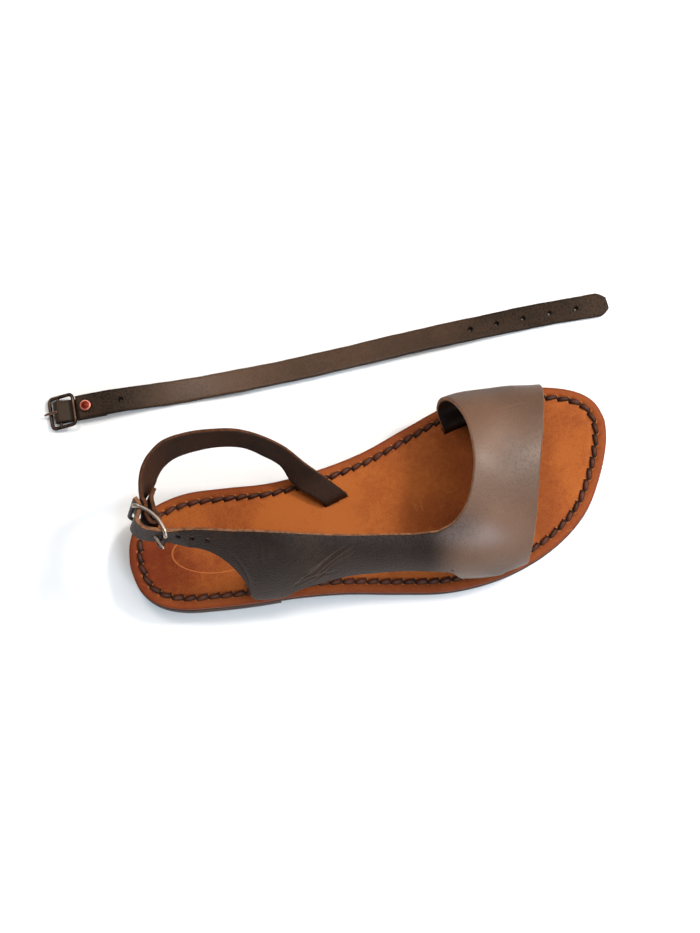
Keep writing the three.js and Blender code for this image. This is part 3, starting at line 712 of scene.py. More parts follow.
def linear(red: int, green: int, blue: int) -> tuple[float, float, float, float]:
    """Turns a screen colour into a linear one.

    Args:
        red: Red, 0 to 255.
        green: Green, 0 to 255.
        blue: Blue, 0 to 255.

    Returns:
        Linear red, green, blue and a full alpha.
    """

    def channel(value: int) -> float:
        """Turns one channel into a linear one."""
        share = value / 255
        return share / 12.92 if share <= 0.04045 else ((share + 0.055) / 1.055) ** 2.4

    return (channel(red), channel(green), channel(blue), 1.0)


# Darkest and lightest fibres of the flesh side, as shares of its colour.
NAP_DARK, NAP_LIGHT = 0.5, 1.45


def new_material(name: str) -> tuple[bpy.types.Material, Graph, bpy.types.Node]:
    """Starts a material with its shader node.

    Args:
        name: Name of the material.

    Returns:
        The material, its graph and its shader node.
    """
    material = bpy.data.materials.new(name)
    material.use_nodes = True
    shader = next(n for n in material.node_tree.nodes if n.type == "BSDF_PRINCIPLED")
    shader.location = (3200, 0)
    return material, Graph(material.node_tree), shader


@dataclass(frozen=True)
class LeatherFinish:
    """Dyed leather with a grain side, a flesh side and raw cut edges."""

    name: str
    dark: tuple[int, int, int]
    light: tuple[int, int, int]
    flesh: tuple[int, int, int]
    edge: tuple[int, int, int]
    roughness: float = 0.42
    flesh_roughness: float = 0.9
    pore_scale: float = 1500.0
    bump: float = 0.25
    coat: float = 0.0
    blotch: float = 0.35
    scuff: float = 0.08
    edge_amount: float = 1.0
    gloss: float = 0.5
    speckle: float = 0.12
    tint: tuple[float, float, float] = (1.0, 0.88, 0.78)

    def build(self, effects: Effects) -> bpy.types.Material:
        """Makes the material.

        Args:
            effects: Shared node groups.

        Returns:
            The material.
        """
        material, graph, shader = new_material(self.name)
        place = graph.place()
        flesh = graph.attribute("flesh")
        grain = graph.add(
            "Group",
            {"Vector": place, "Pore Scale": self.pore_scale, "Nap": flesh},
            node_tree=effects.grain,
        )
        tone = graph.attribute("tone")
        varied = graph.math("MULTIPLY_ADD", grain.outputs["Blotch"], self.blotch, tone)
        speckled = graph.math("MULTIPLY_ADD", grain.outputs["Height"], self.speckle, varied)
        middle = (self.blotch + self.speckle) / 2
        lowered = graph.math("SUBTRACT", speckled, middle, clamp=True)
        face = graph.mix(lowered, linear(*self.dark), linear(*self.light))
        scuffs = graph.add(
            "Group", {"Vector": place, "Amount": self.scuff}, node_tree=effects.scuffs
        )
        rubbed = graph.mix(scuffs.outputs["Mask"], face, linear(*self.edge))
        fibres = graph.math("MULTIPLY_ADD", grain.outputs["Blotch"], 0.3, grain.outputs["Height"])
        nap = graph.mix(
            graph.ramp(fibres, 0.42, 0.86),
            linear(*(round(c * NAP_DARK) for c in self.flesh)),
            linear(*(round(c * NAP_LIGHT) for c in self.flesh)),
        )
        sides = graph.mix(flesh, rubbed, nap)
        cut = graph.add(
            "Group",
            {
                "Vector": place,
                "Edge": graph.attribute("cut_edge"),
                "Amount": self.edge_amount,
                "Base Color": sides,
                "Edge Color": linear(*self.edge),
            },
            node_tree=effects.cut_edge,
        )
        graph.plug(shader.inputs["Base Color"], cut.outputs["Color"])
        raw = graph.math("MAXIMUM", flesh, cut.outputs["Mask"])
        spread_out = self.flesh_roughness - self.roughness
        rough = graph.math("MULTIPLY_ADD", raw, spread_out, self.roughness)
        softened = graph.math("MULTIPLY_ADD", grain.outputs["Blotch"], 0.06, rough)
        graph.plug(shader.inputs["Roughness"], graph.math("SUBTRACT", softened, 0.03, clamp=True))
        bump = graph.add(
            "Bump", {"Height": grain.outputs["Height"], "Distance": 0.0002, "Strength": self.bump}
        )
        graph.plug(shader.inputs["Normal"], bump.outputs["Normal"])
        if self.coat > 0:
            graph.plug(shader.inputs["Coat Weight"], graph.math("MULTIPLY", tone, self.coat))
        shader.inputs["Coat Roughness"].default_value = 0.38
        shader.inputs["Specular IOR Level"].default_value = self.gloss
        shader.inputs["Specular Tint"].default_value = (*self.tint, 1.0)
        return material


@dataclass(frozen=True)
class FootbedFinish:
    """Vegetable-tanned footbed leather, darker at the rim and round the lace."""

    name: str = "footbed_leather"
    light: tuple[int, int, int] = (168, 90, 36)
    dark: tuple[int, int, int] = (114, 45, 22)
    rim: tuple[int, int, int] = (96, 42, 22)
    # Painted shade inside the slits that the lace goes into.
    hole: tuple[int, int, int] = (44, 22, 14)
    notch: tuple[int, int, int] = (196, 122, 66)
    margin: tuple[int, int, int] = (112, 46, 25)
    pressed: tuple[int, int, int] = (216, 128, 70)
    scratch: tuple[int, int, int] = (222, 150, 92)
    blotch: float = 0.42
    speckle: float = 0.36
    scuff: float = 0.16
    oval_centre: tuple[float, float] = (13.0, -2.0)
    oval_size: tuple[float, float] = (21.0, 10.5)
    oval_turn: float = -0.20

    def build(self, effects: Effects) -> bpy.types.Material:
        """Makes the material.

        Args:
            effects: Shared node groups.

        Returns:
            The material.
        """
        material, graph, shader = new_material(self.name)
        place = graph.place()
        grain = graph.add(
            "Group",
            {"Vector": place, "Pore Scale": 1250.0, "Blotch Scale": 42.0},
            node_tree=effects.grain,
        )
        tone = graph.attribute("tone")
        varied = graph.math("MULTIPLY_ADD", grain.outputs["Blotch"], self.blotch, tone)
        speckled = graph.math("MULTIPLY_ADD", grain.outputs["Height"], self.speckle, varied)
        middle = (self.blotch + self.speckle) / 2
        lowered = graph.math("SUBTRACT", speckled, middle, clamp=True)
        colour = graph.mix(lowered, linear(*self.dark), linear(*self.light))
        inset = graph.attribute("inset")
        rim = graph.math("SUBTRACT", 1.0, graph.ramp(inset, 0.5, 2.6), clamp=True)
        margin = graph.math("SUBTRACT", 1.0, graph.ramp(inset, 3.4, LACE_INSET), clamp=True)
        oval = self._oval(graph, place)
        from_lace = graph.math("ABSOLUTE", graph.math("SUBTRACT", inset, LACE_INSET))
        notch, hole = self._stitch_marks(graph, inset)
        scuffs = graph.add(
            "Group", {"Vector": place, "Amount": self.scuff}, node_tree=effects.scuffs
        )
        layers = (
            (rim, 0.75, self.rim),
            (margin, 0.5, self.margin),
            (oval, 0.45, self.pressed),
            (graph.ramp(from_lace, 2.9, 1.2), 0.2, self.rim),
            (notch, 0.55, self.notch),
            (hole, 1.0, self.hole),
            (scuffs.outputs["Mask"], 1.0, self.scratch),
        )
        for mask, strength, shade in layers:
            share = graph.math("MULTIPLY", mask, strength)
            colour = graph.mix(share, colour, linear(*shade))
        graph.plug(shader.inputs["Base Color"], colour)
        rough = graph.math("MULTIPLY_ADD", grain.outputs["Blotch"], -0.1, 0.62)
        graph.plug(shader.inputs["Roughness"], rough)
        pressed = graph.math("MULTIPLY_ADD", oval, -1.6, grain.outputs["Height"])
        bump = graph.add("Bump", {"Height": pressed, "Distance": 0.00015, "Strength": 0.3})
        graph.plug(shader.inputs["Normal"], bump.outputs["Normal"])
        shader.inputs["Specular IOR Level"].default_value = 0.15
        shader.inputs["Specular Tint"].default_value = (1.0, 0.82, 0.66, 1.0)
        return material

    def _stitch_marks(
        self, graph: Graph, inset: bpy.types.NodeSocket
    ) -> tuple[bpy.types.NodeSocket, bpy.types.NodeSocket]:
        """Masks of the light notch and of the painted shade in the slit, beside each stitch.

        Args:
            graph: The material's graph.
            inset: Distance from the sole's edge, in millimetres.

        Returns:
            The notch mask and the mask of the painted slit shade.
        """
        run = graph.attribute("lace_run")
        phase = graph.math("FRACT", run)
        across = graph.math("SUBTRACT", inset, LACE_INSET)
        gap = graph.math("MINIMUM", phase, graph.math("SUBTRACT", 1.0, phase))
        narrow = graph.ramp(gap, 0.12, 0.05)
        band = graph.ramp(graph.math("ABSOLUTE", graph.math("ADD", across, 0.2)), 1.9, 1.2)
        notch = graph.math("MULTIPLY", narrow, band)
        # Painted shade: a dark spot where the lace goes down into its slit.
        spot = graph.math("ABSOLUTE", graph.math("SUBTRACT", phase, 0.15))
        near = graph.ramp(spot, 0.11, 0.04)
        core = graph.ramp(graph.math("ABSOLUTE", graph.math("SUBTRACT", across, 0.9)), 1.5, 0.7)
        hole = graph.math("MULTIPLY", near, core)
        return notch, hole

    def _oval(self, graph: Graph, place: bpy.types.NodeSocket) -> bpy.types.NodeSocket:
        """Mask of the plain oval line pressed into the heel.

        Args:
            graph: The material's graph.
            place: Object coordinates.

        Returns:
            The mask.
        """
        cx, cy = (c * MM for c in self.oval_centre)
        moved = graph.add(
            "Mapping",
            {"Vector": place, "Location": (cx, cy, 0.0), "Rotation": (0.0, 0.0, self.oval_turn)},
            vector_type="TEXTURE",
        )
        apart = graph.add("SeparateXYZ", {"Vector": moved.outputs["Vector"]})
        a, b = (s * MM for s in self.oval_size)
        x = graph.math("DIVIDE", apart.outputs["X"], a)
        y = graph.math("DIVIDE", apart.outputs["Y"], b)
        squares = graph.math("MULTIPLY_ADD", x, x, graph.math("MULTIPLY", y, y))
        radius = graph.math("SQRT", squares)
        return graph.ramp(graph.math("ABSOLUTE", graph.math("SUBTRACT", radius, 1.0)), 0.03, 0.012)


@dataclass(frozen=True)
class MetalFinish:
    """Old plated metal, dark in its hollows and bright where it rubs; the heel buckle's rail also
    gets a painted highlight.
    """

    name: str
    bright: tuple[int, int, int]
    dull: tuple[int, int, int]
    roughness: float = 0.3
    worn: float = 0.5

    def build(self, effects: Effects) -> bpy.types.Material:
        """Makes the material.

        Args:
            effects: Shared node groups.

        Returns:
            The material.
        """
        material, graph, shader = new_material(self.name)
        place = graph.place()
        patina = graph.noise(place, 260.0, 5.0)
        # The "rubbed" value holds wear, and on the heel buckle's rail a painted highlight.
        rubbed = graph.attribute("rubbed")
        level = graph.math("MULTIPLY_ADD", patina, 0.5, rubbed)
        mask = graph.ramp(level, 0.78, 0.78 + self.worn)
        colour = graph.mix(mask, linear(*self.dull), linear(*self.bright))
        graph.plug(shader.inputs["Base Color"], colour)
        scuffs = graph.add("Group", {"Vector": place, "Scale": 300.0}, node_tree=effects.scuffs)
        dulled = graph.math("MULTIPLY_ADD", mask, -0.22, self.roughness + 0.2)
        rough = graph.math("MULTIPLY_ADD", scuffs.outputs["Mask"], 0.2, dulled)
        graph.plug(shader.inputs["Roughness"], rough)
        bump = graph.add("Bump", {"Height": patina, "Distance": 0.0001, "Strength": 0.35})
        graph.plug(shader.inputs["Normal"], bump.outputs["Normal"])
        shader.inputs["Metallic"].default_value = 0.95
        return material


class Leather(Enum):
    """Leathers of the sandal."""

    SOLE = LeatherFinish(
        "sole_leather",
        dark=(46, 26, 17),
        light=(92, 50, 29),
        flesh=(70, 42, 28),
        edge=(104, 62, 38),
        roughness=0.6,
        edge_amount=0.4,
    )
    LACE = LeatherFinish(
        "lace_leather",
        dark=(34, 15, 10),
        light=(92, 50, 36),
        flesh=(40, 20, 14),
        edge=(84, 48, 33),
        roughness=0.55,
        bump=0.5,
        gloss=0.25,
    )
    # The upper's light colour is the painted sheen of its toe band; its dark colour is the
    # leather's own.
    UPPER = LeatherFinish(
        "upper_leather",
        dark=(11, 7, 8),
        light=(100, 71, 52),
        flesh=(36, 22, 14),
        edge=(140, 94, 64),
        roughness=0.5,
        bump=0.8,
        gloss=0.22,
        coat=0.58,
        blotch=0.1,
        pore_scale=850.0,
        speckle=0.15,
        tint=(1.0, 0.78, 0.68),
    )
    STRAP = LeatherFinish(
        "strap_leather",
        dark=(20, 11, 7),
        light=(60, 34, 21),
        flesh=(44, 23, 13),
        edge=(92, 54, 33),
        roughness=0.6,
        scuff=0.3,
        gloss=0.2,
        bump=0.9,
    )
    # The loose strap's light colour serves its painted sheen as well as the leather's mottling.
    LOOSE = LeatherFinish(
        "loose_leather",
        dark=(12, 7, 4),
        light=(84, 59, 41),
        flesh=(26, 16, 11),
        edge=(28, 18, 13),
        roughness=0.5,
        bump=0.9,
        gloss=0.14,
        coat=0.45,
        blotch=0.2,
        speckle=0.3,
        pore_scale=900.0,
    )
    CHAPE = LeatherFinish(
        "chape_leather",
        dark=(20, 13, 9),
        light=(50, 37, 27),
        flesh=(26, 17, 11),
        edge=(38, 25, 17),
        roughness=0.5,
        gloss=0.2,
    )


class Metal(Enum):
    """Metals of the sandal."""

    # Its bright colour serves wear and the painted highlight along the heel buckle's rail.
    BUCKLE = MetalFinish("buckle_steel", (176, 162, 148), (30, 22, 18), 0.3, 0.34)
    DARK = MetalFinish("dark_steel", (138, 108, 88), (26, 18, 15), 0.34, 0.5)
    RIVET = MetalFinish("rivet_copper", (226, 160, 136), (122, 42, 30), 0.3, 0.5)


@dataclass(frozen=True)
class SoleForm:
    """Outline and heights of the sole."""

    length: float = 256.6
    ball_width: float = 98.6
    setback: float = 30.5
    lift: float = 6.5
    outsole: float = 3.6
    insole: float = 3.8
    gap: float = 0.3
    toe_spring: float = 3.2
    breast: float = 70.0
    shank_end: float = 143.0
    toe_break: float = 212.0
    outline: tuple[tuple[float, float], ...] = (
        (0.015, 0.015),
        (0.142, -0.120),
        (0.250, -0.215),
        (0.304, -0.273),
        (0.323, -0.305),
        (0.300, -0.332),
        (0.270, -0.354),
        (0.280, -0.394),
        (0.319, -0.457),
        (0.390, -0.513),
        (0.455, -0.518),
        (0.474, -0.476),
        (0.455, -0.395),
        (0.411, -0.275),
        (0.352, -0.108),
        (0.272, 0.045),
        (0.163, 0.163),
    )

    def to_x(self, along: Array | float) -> Array:
        """Turns a share of the length, from the back of the heel, into X."""
        return np.asarray(along, float) * self.length - self.setback

    def edges(self, along: Array | float) -> tuple[Array, Array]:
        """Inner and outer edge at shares of the length.

        Args:
            along: Shares of the sole's length.

        Returns:
            Y of the inner edge and of the outer edge.
        """
        arc = np.arccos(1.0 - 2.0 * np.clip(along, 0.0, 1.0)) / math.pi
        rows = sample(self.outline, arc * (len(self.outline) - 1)) * self.ball_width
        return rows[:, 0], rows[:, 1]

    def underside(self, x: Array | float) -> Array:
        """Height of the outsole's underside.

        Args:
            x: X in millimetres.

        Returns:
            Heights in millimetres.
        """
        back = np.asarray(x, float) + self.setback
        fall = smooth((back - self.breast) / (self.shank_end - self.breast))
        rise = np.clip((back - self.toe_break) / (self.length - self.toe_break), 0.0, 1.0)
        return (self.lift + self.gap) * (1.0 - fall) + self.toe_spring * rise * rise

    def outsole_top(self, x: Array | float) -> Array:
        """Height of the outsole's top."""
        return self.underside(x) + self.outsole

    def insole_bottom(self, x: Array | float) -> Array:
        """Height of the insole's underside."""
        return self.outsole_top(x) + self.gap

    def footbed(self, x: Array | float) -> Array:
        """Height of the footbed."""
        return self.insole_bottom(x) + self.insole

    def rim(self, count: int) -> tuple[Array, Array]:
        """Points round the sole's edge, with the inward directions there.

        The first point is at the back, and the two sides mirror one another in their
        order, so that point i and point count - i are at the same share of the length.

        Args:
            count: Number of points, even.

        Returns:
            The points and the unit inward directions, both shaped (count, 2).
        """
        turn = np.linspace(0.0, 2.0, count, endpoint=False)
        half = np.where(turn <= 1.0, turn, 2.0 - turn)
        along = (1.0 - np.cos(math.pi * half)) / 2.0
        inner, outer = self.edges(along)
        y = np.where(turn <= 1.0, inner, outer)
        points = np.column_stack([self.to_x(along), y])
        tangent = unit(np.roll(points, -1, axis=0) - np.roll(points, 1, axis=0))
        return points, np.column_stack([tangent[:, 1], -tangent[:, 0]])


SOLE = SoleForm()


@dataclass(frozen=True)
class ToneSpot:
    """A soft round area that is lighter or darker than the leather round it."""

    x: float
    y: float
    reach: float
    amount: float
    stretch: float = 1.0

    def weight(self, points: Array) -> Array:
        """Strength of the spot at points.

        Args:
            points: Points, with X and Y first.

        Returns:
            The spot's amount times its falloff.
        """
        dx = (points[:, 0] - self.x) / (self.reach * self.stretch)
        dy = (points[:, 1] - self.y) / self.reach
        return self.amount * np.exp(-(dx * dx + dy * dy))


def toned(points: Array, base: float, spots: Iterable[ToneSpot]) -> Array:
    """Adds up soft spots over an even tone.

    Args:
        points: Points of a surface.
        base: The even tone.
        spots: The spots.

    Returns:
        A tone from 0 (dark) to 1 (light) at each point.
    """
    total = np.full(len(points), base)
    for spot in spots:
        total = total + spot.weight(points)
    return np.clip(total, 0.0, 1.0)


@dataclass
class SolePile:
    """Heel lift, outsole and footbed, with the slits that the straps go into."""

    form: SoleForm = SOLE
    stitches: int = STITCHES
    slit_half: float = 1.5
    strap_slit_half: float = 1.45
    spots: tuple[ToneSpot, ...] = (
        ToneSpot(-18, 0, 16, -0.55),
        ToneSpot(8, -8, 24, -0.22),
        ToneSpot(60, 18, 26, 0.30, 1.4),
        ToneSpot(95, 2, 26, 0.22, 1.5),
        ToneSpot(124, 8, 11, 0.22),
        # Painted shadow of the toe band's throat edge on the footbed.
        ToneSpot(140, -14, 12, -0.25, 1.3),
        ToneSpot(28, 26, 10, -0.2, 1.6),
        ToneSpot(205, -18, 16, 0.04),
        ToneSpot(205, 12, 18, -0.05),
        # Painted shade on the footbed under the outer quarter's hem.
        ToneSpot(66, -24, 8, -0.2, 3.0),
    )

    # Rings of the footbed from its underside over the rim: inset, height from the
    # footbed's top, and how strongly the stitches press into it.
    RINGS = (
        (9.0, -3.8, 0.0),
        (1.1, -3.8, 0.0),
        (0.85, -3.5, 0.0),
        (0.8, -2.0, 0.0),
        (0.85, -1.1, 0.0),
        (1.15, -0.65, 0.0),
        (1.8, -0.38, 0.0),
        (3.0, -0.18, 0.0),
        (4.2, -0.10, 0.1),
        (4.8, -0.18, 0.6),
        (5.4, -0.30, 1.0),
        (6.0, -0.36, 1.0),
        (6.8, -0.36, 1.0),
        (7.4, -0.30, 1.0),
        (8.0, -0.16, 0.6),
        (8.8, -0.04, 0.1),
        (10.5, 0.0, 0.0),
    )
    # The same for the outsole, counted from its own top.
    OUTSOLE_RINGS = (
        (6.0, 0.0, 0.0),
        (0.9, 0.0, 0.0),
        (0.35, -3.2, 0.0),
        (0.2, -1.8, 0.0),
        (0.35, -0.4, 0.0),
        (0.9, 0.0, 0.0),
        (6.0, 0.0, 0.0),
    )
    # Side of the heel lift from the floor up: inset and height.
    LIFT_PROFILE = (
        (0.6, 0.0),
        (0.2, 0.25),
        (0.05, 1.6),
        (0.15, 3.2),
        (0.05, 4.9),
        (0.2, 6.25),
        (0.6, 6.5),
    )
    # Back and front of each slit for the upper, and the side that it is on.
    SLITS = ((0.674, 0.875, 1), (0.661, 0.753, -1), (0.228, 0.279, -1))
    # Heights between which the slits are cut.
    SLIT_REACH = (2.0, 22.0)

    def layer(
        self,
        rings: Sequence[tuple[float, float, float]],
        top: Callable[[Array], Array],
        bottom_rings: int,
        bottom: Callable[[Array], Array],
        around: int,
        across: int,
    ) -> Surface:
        """Builds one layer of the sole from rings, closed below and above.

        Args:
            rings: Inset, height and press of each ring, from the underside up.
            top: Height that the upper rings are counted from.
            bottom_rings: How many of the first rings follow the underside instead.
            bottom: Height of the underside.
            around: Points round the edge.
            across: Faces across the closed faces.

        Returns:
            The closed layer, with "inset" and "lace_run" at its points.
        """
        edge, inward = self.form.rim(around)
        run = path_length(edge + inward * LACE_INSET, closed=True)
        phase = run[:-1] / run[-1] * self.stitches
        points, insets, runs = [], [], []
        for number, (inset, height, press) in enumerate(rings):
            plan = edge + inward * inset
            below = number < bottom_rings
            base = bottom if below else top
            dip = press * 0.5 * (0.5 + 0.5 * np.cos(2 * math.pi * (phase - 0.12)))
            z = base(plan[:, 0]) + (0.0 if below else height) - dip
            points.append(np.column_stack([plan, z]))
            insets.append(np.full(around, inset))
            runs.append(phase)
        faces: list[tuple[int, ...]] = []
        for i in range(len(rings) - 1):
            here, up = i * around, (i + 1) * around
            for j in range(around):
                k = (j + 1) % around
                faces.append((here + j, here + k, up + k, up + j))
        total = len(rings) * around
        for number, height_of in ((0, bottom), (len(rings) - 1, top)):
            fill, cover = self._cover(points[number], number * around, total, across, height_of)
            total += len(fill)
            points.append(fill)
            insets.append(np.full(len(fill), FIELD_INSET))
            runs.append(np.zeros(len(fill)))
            faces += [tuple(reversed(face)) for face in cover] if number else cover
        values = {"inset": np.concatenate(insets), "lace_run": np.concatenate(runs)}
        return outward(Surface(np.vstack(points), faces, values))

    def _cover(
        self,
        ring: Array,
        start: int,
        total: int,
        across: int,
        height: Callable[[Array], Array],
    ) -> tuple[Array, list[tuple[int, ...]]]:
        """Closes a ring with faces that run from its one side to the other.

        Args:
            ring: Points of the ring.
            start: Number of the ring's first point in the mesh.
            total: Number of points in the mesh so far.
            across: Faces in each row.
            height: Height of the points filled in, from their X.

        Returns:
            The points filled in, and the faces.
        """
        count = len(ring)
        shares = np.arange(1, across)[:, None] / across
        added = []
        rows = [np.full(across + 1, start)]
        for k in range(1, count // 2):
            a, b = ring[k], ring[count - k]
            fill = a + (b - a) * shares
            fill[:, 2] = height(fill[:, 0])
            added.append(fill)
            middle = total + (k - 1) * len(fill) + np.arange(len(fill))
            rows.append(np.concatenate([[start + k], middle, [start + count - k]]))
        rows.append(np.full(across + 1, start + count // 2))
        faces = []
        for low, high in zip(rows[:-1], rows[1:]):
            for j in range(across):
                corners = (int(low[j]), int(low[j + 1]), int(high[j + 1]), int(high[j]))
                faces.append(tuple(dict.fromkeys(corners)))
        return np.vstack(added), faces

    def build(self, effects: Effects) -> list[bpy.types.Object]:
        """Builds and dresses the three layers.

        Args:
            effects: Shared node groups.

        Returns:
            The objects.
        """
        form = self.form
        footbed = self.layer(self.RINGS, form.footbed, 2, form.insole_bottom, 960, 26)
        footbed.values["tone"] = toned(footbed.points, 0.5, self.spots)
        insole = footbed.to_object("footbed")
        cut_holes(insole, self.slits())
        insole.data.materials.append(FootbedFinish().build(effects))
        sole = Leather.SOLE.value.build(effects)
        outsole = self.layer(self.OUTSOLE_RINGS, form.outsole_top, 2, form.underside, 480, 4)
        under = outsole.to_object("outsole_layer")
        under.data.materials.append(sole)
        block = self.heel_lift().to_object("heel_lift_layer")
        block.data.materials.append(sole)
        pieces = [insole, under, block]
        for piece, node in zip(pieces, ("insole", "outsole", "heel_lift")):
            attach(piece, Body.SANDAL.value)
            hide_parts(node)
        return pieces

    def heel_lift(self) -> Surface:
        """Builds the lift under the heel, straight across at its front.

        Returns:
            The closed lift.
        """
        form = self.form
        last = math.acos(1 - 2 * form.breast / form.length)
        along = (1 - np.cos(np.linspace(0.03, last, 90))) / 2
        inner, outer = form.edges(along)
        centre, half = (inner + outer) / 2, (inner - outer) / 2
        outline = [(-1, inset, z) for inset, z in self.LIFT_PROFILE]
        outline += [(1, inset, z) for inset, z in reversed(self.LIFT_PROFILE)]
        x = form.to_x(along)
        sections = [
            np.column_stack([x, centre + side * np.maximum(half - inset, 0.3), np.full_like(x, z)])
            for side, inset, z in outline
        ]
        return loft(np.stack(sections, axis=1))

    def slits(self) -> list[Surface]:
        """Cutters of the slits in the footbed.

        Returns:
            The closed cutters.
        """
        cutters = []
        for back, front, side in self.SLITS:
            along = np.linspace(back, front, 24)
            inner, outer = self.form.edges(along)
            y = inner - SLIT_INSET if side > 0 else outer + SLIT_INSET
            route = np.column_stack([self.form.to_x(along), y])
            cutters.append(slot(route, self.slit_half, *self.SLIT_REACH))
        front_along, front_y, _, back_along, back_y, _ = HeelStrap.ROUTE[0]
        ends = ((back_along, back_y), (front_along, front_y))
        route = np.array([[self.form.to_x(a), y * self.form.ball_width] for a, y in ends])
        reach = unit(route[1] - route[0]) * 0.6
        ends = np.array([route[0] - reach, route[1] + reach])
        cutters.append(slot(ends, self.strap_slit_half, *self.SLIT_REACH))
        return cutters


@dataclass
class EdgeLace:
    """The thong whipped round the footbed, one short piece for each stitch."""

    form: SoleForm = SOLE
    stitches: int = STITCHES
    width: float = 3.0
    rise: float = 1.3
    slant: float = 0.4
    # Where a stitch starts and ends, in stitch lengths from its number.
    start: float = 0.01
    end: float = 1.05
    # How deep its ends and its underside go into the footbed.
    end_depth: float = 0.75
    depth: float = 0.7

    def stitch(self, number: int, path: Array, run: Array, jitter: Array) -> Surface:
        """Draws one stitch.

        Args:
            number: Its number along the lace.
            path: Points of the lace's line in plan with the inward directions there.
            run: Length along the line at each of them.
            jitter: Four random numbers that make it differ from its neighbours.

        Returns:
            The closed stitch, with its "tone".
        """
        pitch = run[-1] / self.stitches
        start = (number + self.start + 0.012 * jitter[0]) * pitch
        end = (number + self.end + 0.02 * jitter[1]) * pitch
        t = np.linspace(0.0, 1.0, 13)
        place = (start + (end - start) * t) % run[-1]
        found = np.column_stack([np.interp(place, run, column) for column in path.T])
        side = unit(found[:, 2:])
        slant = self.slant * (1.0 + 0.2 * jitter[2])
        centre = found[:, :2] + side * (slant * np.cos(math.pi * t))[:, None]
        swell = np.sin(math.pi * np.clip(t * 0.92 + 0.04, 0, 1) ** 0.85)
        half = self.width / 2 * (0.5 + 0.5 * swell) * (1.0 + 0.05 * jitter[3])
        crest = -self.end_depth + (self.rise + self.end_depth) * np.sin(math.pi * t) ** 0.55
        base = self.form.footbed(centre[:, 0])
        rings = []
        for angle in np.linspace(0.0, 2 * math.pi, 12, endpoint=False):
            out = math.cos(angle) * (1.0 - 0.1 * abs(math.sin(angle)))
            up = max(math.sin(angle), 0.0) ** 0.8 - 0.25 * max(-math.sin(angle), 0.0)
            z = base - self.depth + (crest + self.depth) * up
            rings.append(np.column_stack([centre + side * (half * out)[:, None], z]))
        made = loft(np.stack(rings, axis=1))
        # Painted highlight: each stitch is coloured lighter towards its top and darker lower down.
        top = (made.points[:, 2] - self.form.footbed(made.points[:, 0])) / self.rise
        made.values["tone"] = np.clip(top * 0.75 - 0.05 + 0.08 * jitter[3], 0.0, 1.0)
        return made

    def build(self, effects: Effects) -> list[bpy.types.Object]:
        """Builds and dresses all the stitches as one piece.

        Args:
            effects: Shared node groups.

        Returns:
            The one object.
        """
        edge, inward = self.form.rim(1440)
        line = edge + inward * LACE_INSET
        run = path_length(line, closed=True)
        path = np.column_stack([line, inward])
        path = np.vstack([path, path[:1]])
        dice = np.random.default_rng(7)
        whole: Surface | None = None
        for number in range(self.stitches):
            stitch = self.stitch(number, path, run, dice.normal(0.0, 1.0, 4))
            whole = stitch if whole is None else whole.joined(stitch)
        lace = whole.to_object("lace_stitches")
        lace.data.materials.append(Leather.LACE.value.build(effects))
        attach(lace, Body.SANDAL.value)
        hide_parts("edge_lace")
        return [lace]


@dataclass(frozen=True)
class LastForm:
    """The last that the upper lies on."""

    form: SoleForm = SOLE
    height: float = 45.0
    belly: float = 0.78
    foot: float = 1.2
    wall: float = 2.2
    clearance: float = CLEARANCE
    lap_curve: tuple[float, float] = (0.65, 2.05)
    lap_height: float = 3.75
    rows: tuple[tuple[float, ...], ...] = (
        (0.152, 0.304, -0.152, 1.167, 0.40, 0.11, 1.10),
        (0.086, 0.304, -0.285, 1.144, 0.40, 0.11, 1.15),
        (0.041, 0.274, -0.340, 1.089, 0.40, 0.12, 1.40),
        (0.010, 0.294, -0.338, 1.000, 0.40, 0.13, 1.70),
        (0.000, 0.335, -0.370, 0.956, 0.40, 0.13, 2.00),
        (0.020, 0.406, -0.441, 0.940, 0.40, 0.15, 2.00),
        (0.030, 0.444, -0.488, 0.856, 0.40, 0.13, 2.00),
        (0.000, 0.437, -0.448, 0.678, 0.27, 0.12, 2.00),
        (0.010, 0.408, -0.325, 0.533, 0.12, 0.12, 2.00),
    )

    def point(self, along: Array | float, girth: Array | float) -> Array:
        """Points of the last.

        Args:
            along: Shares of the sole's length.
            girth: 0 at the crown, 1 where the leather enters the inner side of the
                footbed and -1 on the outer side.

        Returns:
            Points in millimetres, shaped (count, 3).
        """
        along = np.atleast_1d(np.asarray(along, float))
        girth = np.broadcast_to(np.asarray(girth, float), along.shape)
        crown_y, in_y, out_y, crown_h, in_h, out_h, fullness = sample(self.rows, along / 0.1 - 1).T
        side = girth > 0
        belly_y = np.where(side, in_y, out_y) * self.form.ball_width
        belly_h = np.where(side, in_h, out_h) * self.height
        crown_y = crown_y * self.form.ball_width
        turn = np.abs(girth)
        power = np.where(side, 2.0, fullness)
        out = np.sin(np.clip(turn / self.belly, 0.0, 1.0) * math.pi / 2)
        up = np.maximum(0.0, 1.0 - out**power) ** (1.0 / power)
        y = crown_y + (belly_y - crown_y) * out
        height = belly_h + (crown_h * self.height - belly_h) * up
        inner, outer = self.form.edges(along)
        slit = np.where(side, inner - SLIT_INSET, outer + SLIT_INSET)
        t = np.clip((turn - self.belly) / (1 - self.belly), 0.0, 1.0)
        s = 1.0 - t
        low, high = (share * self.lap_height for share in self.lap_curve)
        lap_y = (s**3 + 3 * s * s * t) * belly_y + (3 * s * t * t + t**3) * slit
        lap_h = s**3 * belly_h + 3 * s * s * t * low + 3 * s * t * t * high + t**3 * self.clearance
        depth = (self.form.insole) * np.clip((turn - 1.0) / (self.foot - 1.0), 0.0, 1.0)
        under = turn > self.belly
        y = np.where(under, lap_y, y)
        height = np.where(under, lap_h - depth, height)
        x = self.form.to_x(along)
        return np.column_stack([x, y, self.form.footbed(x) + height])


LAST = LastForm()


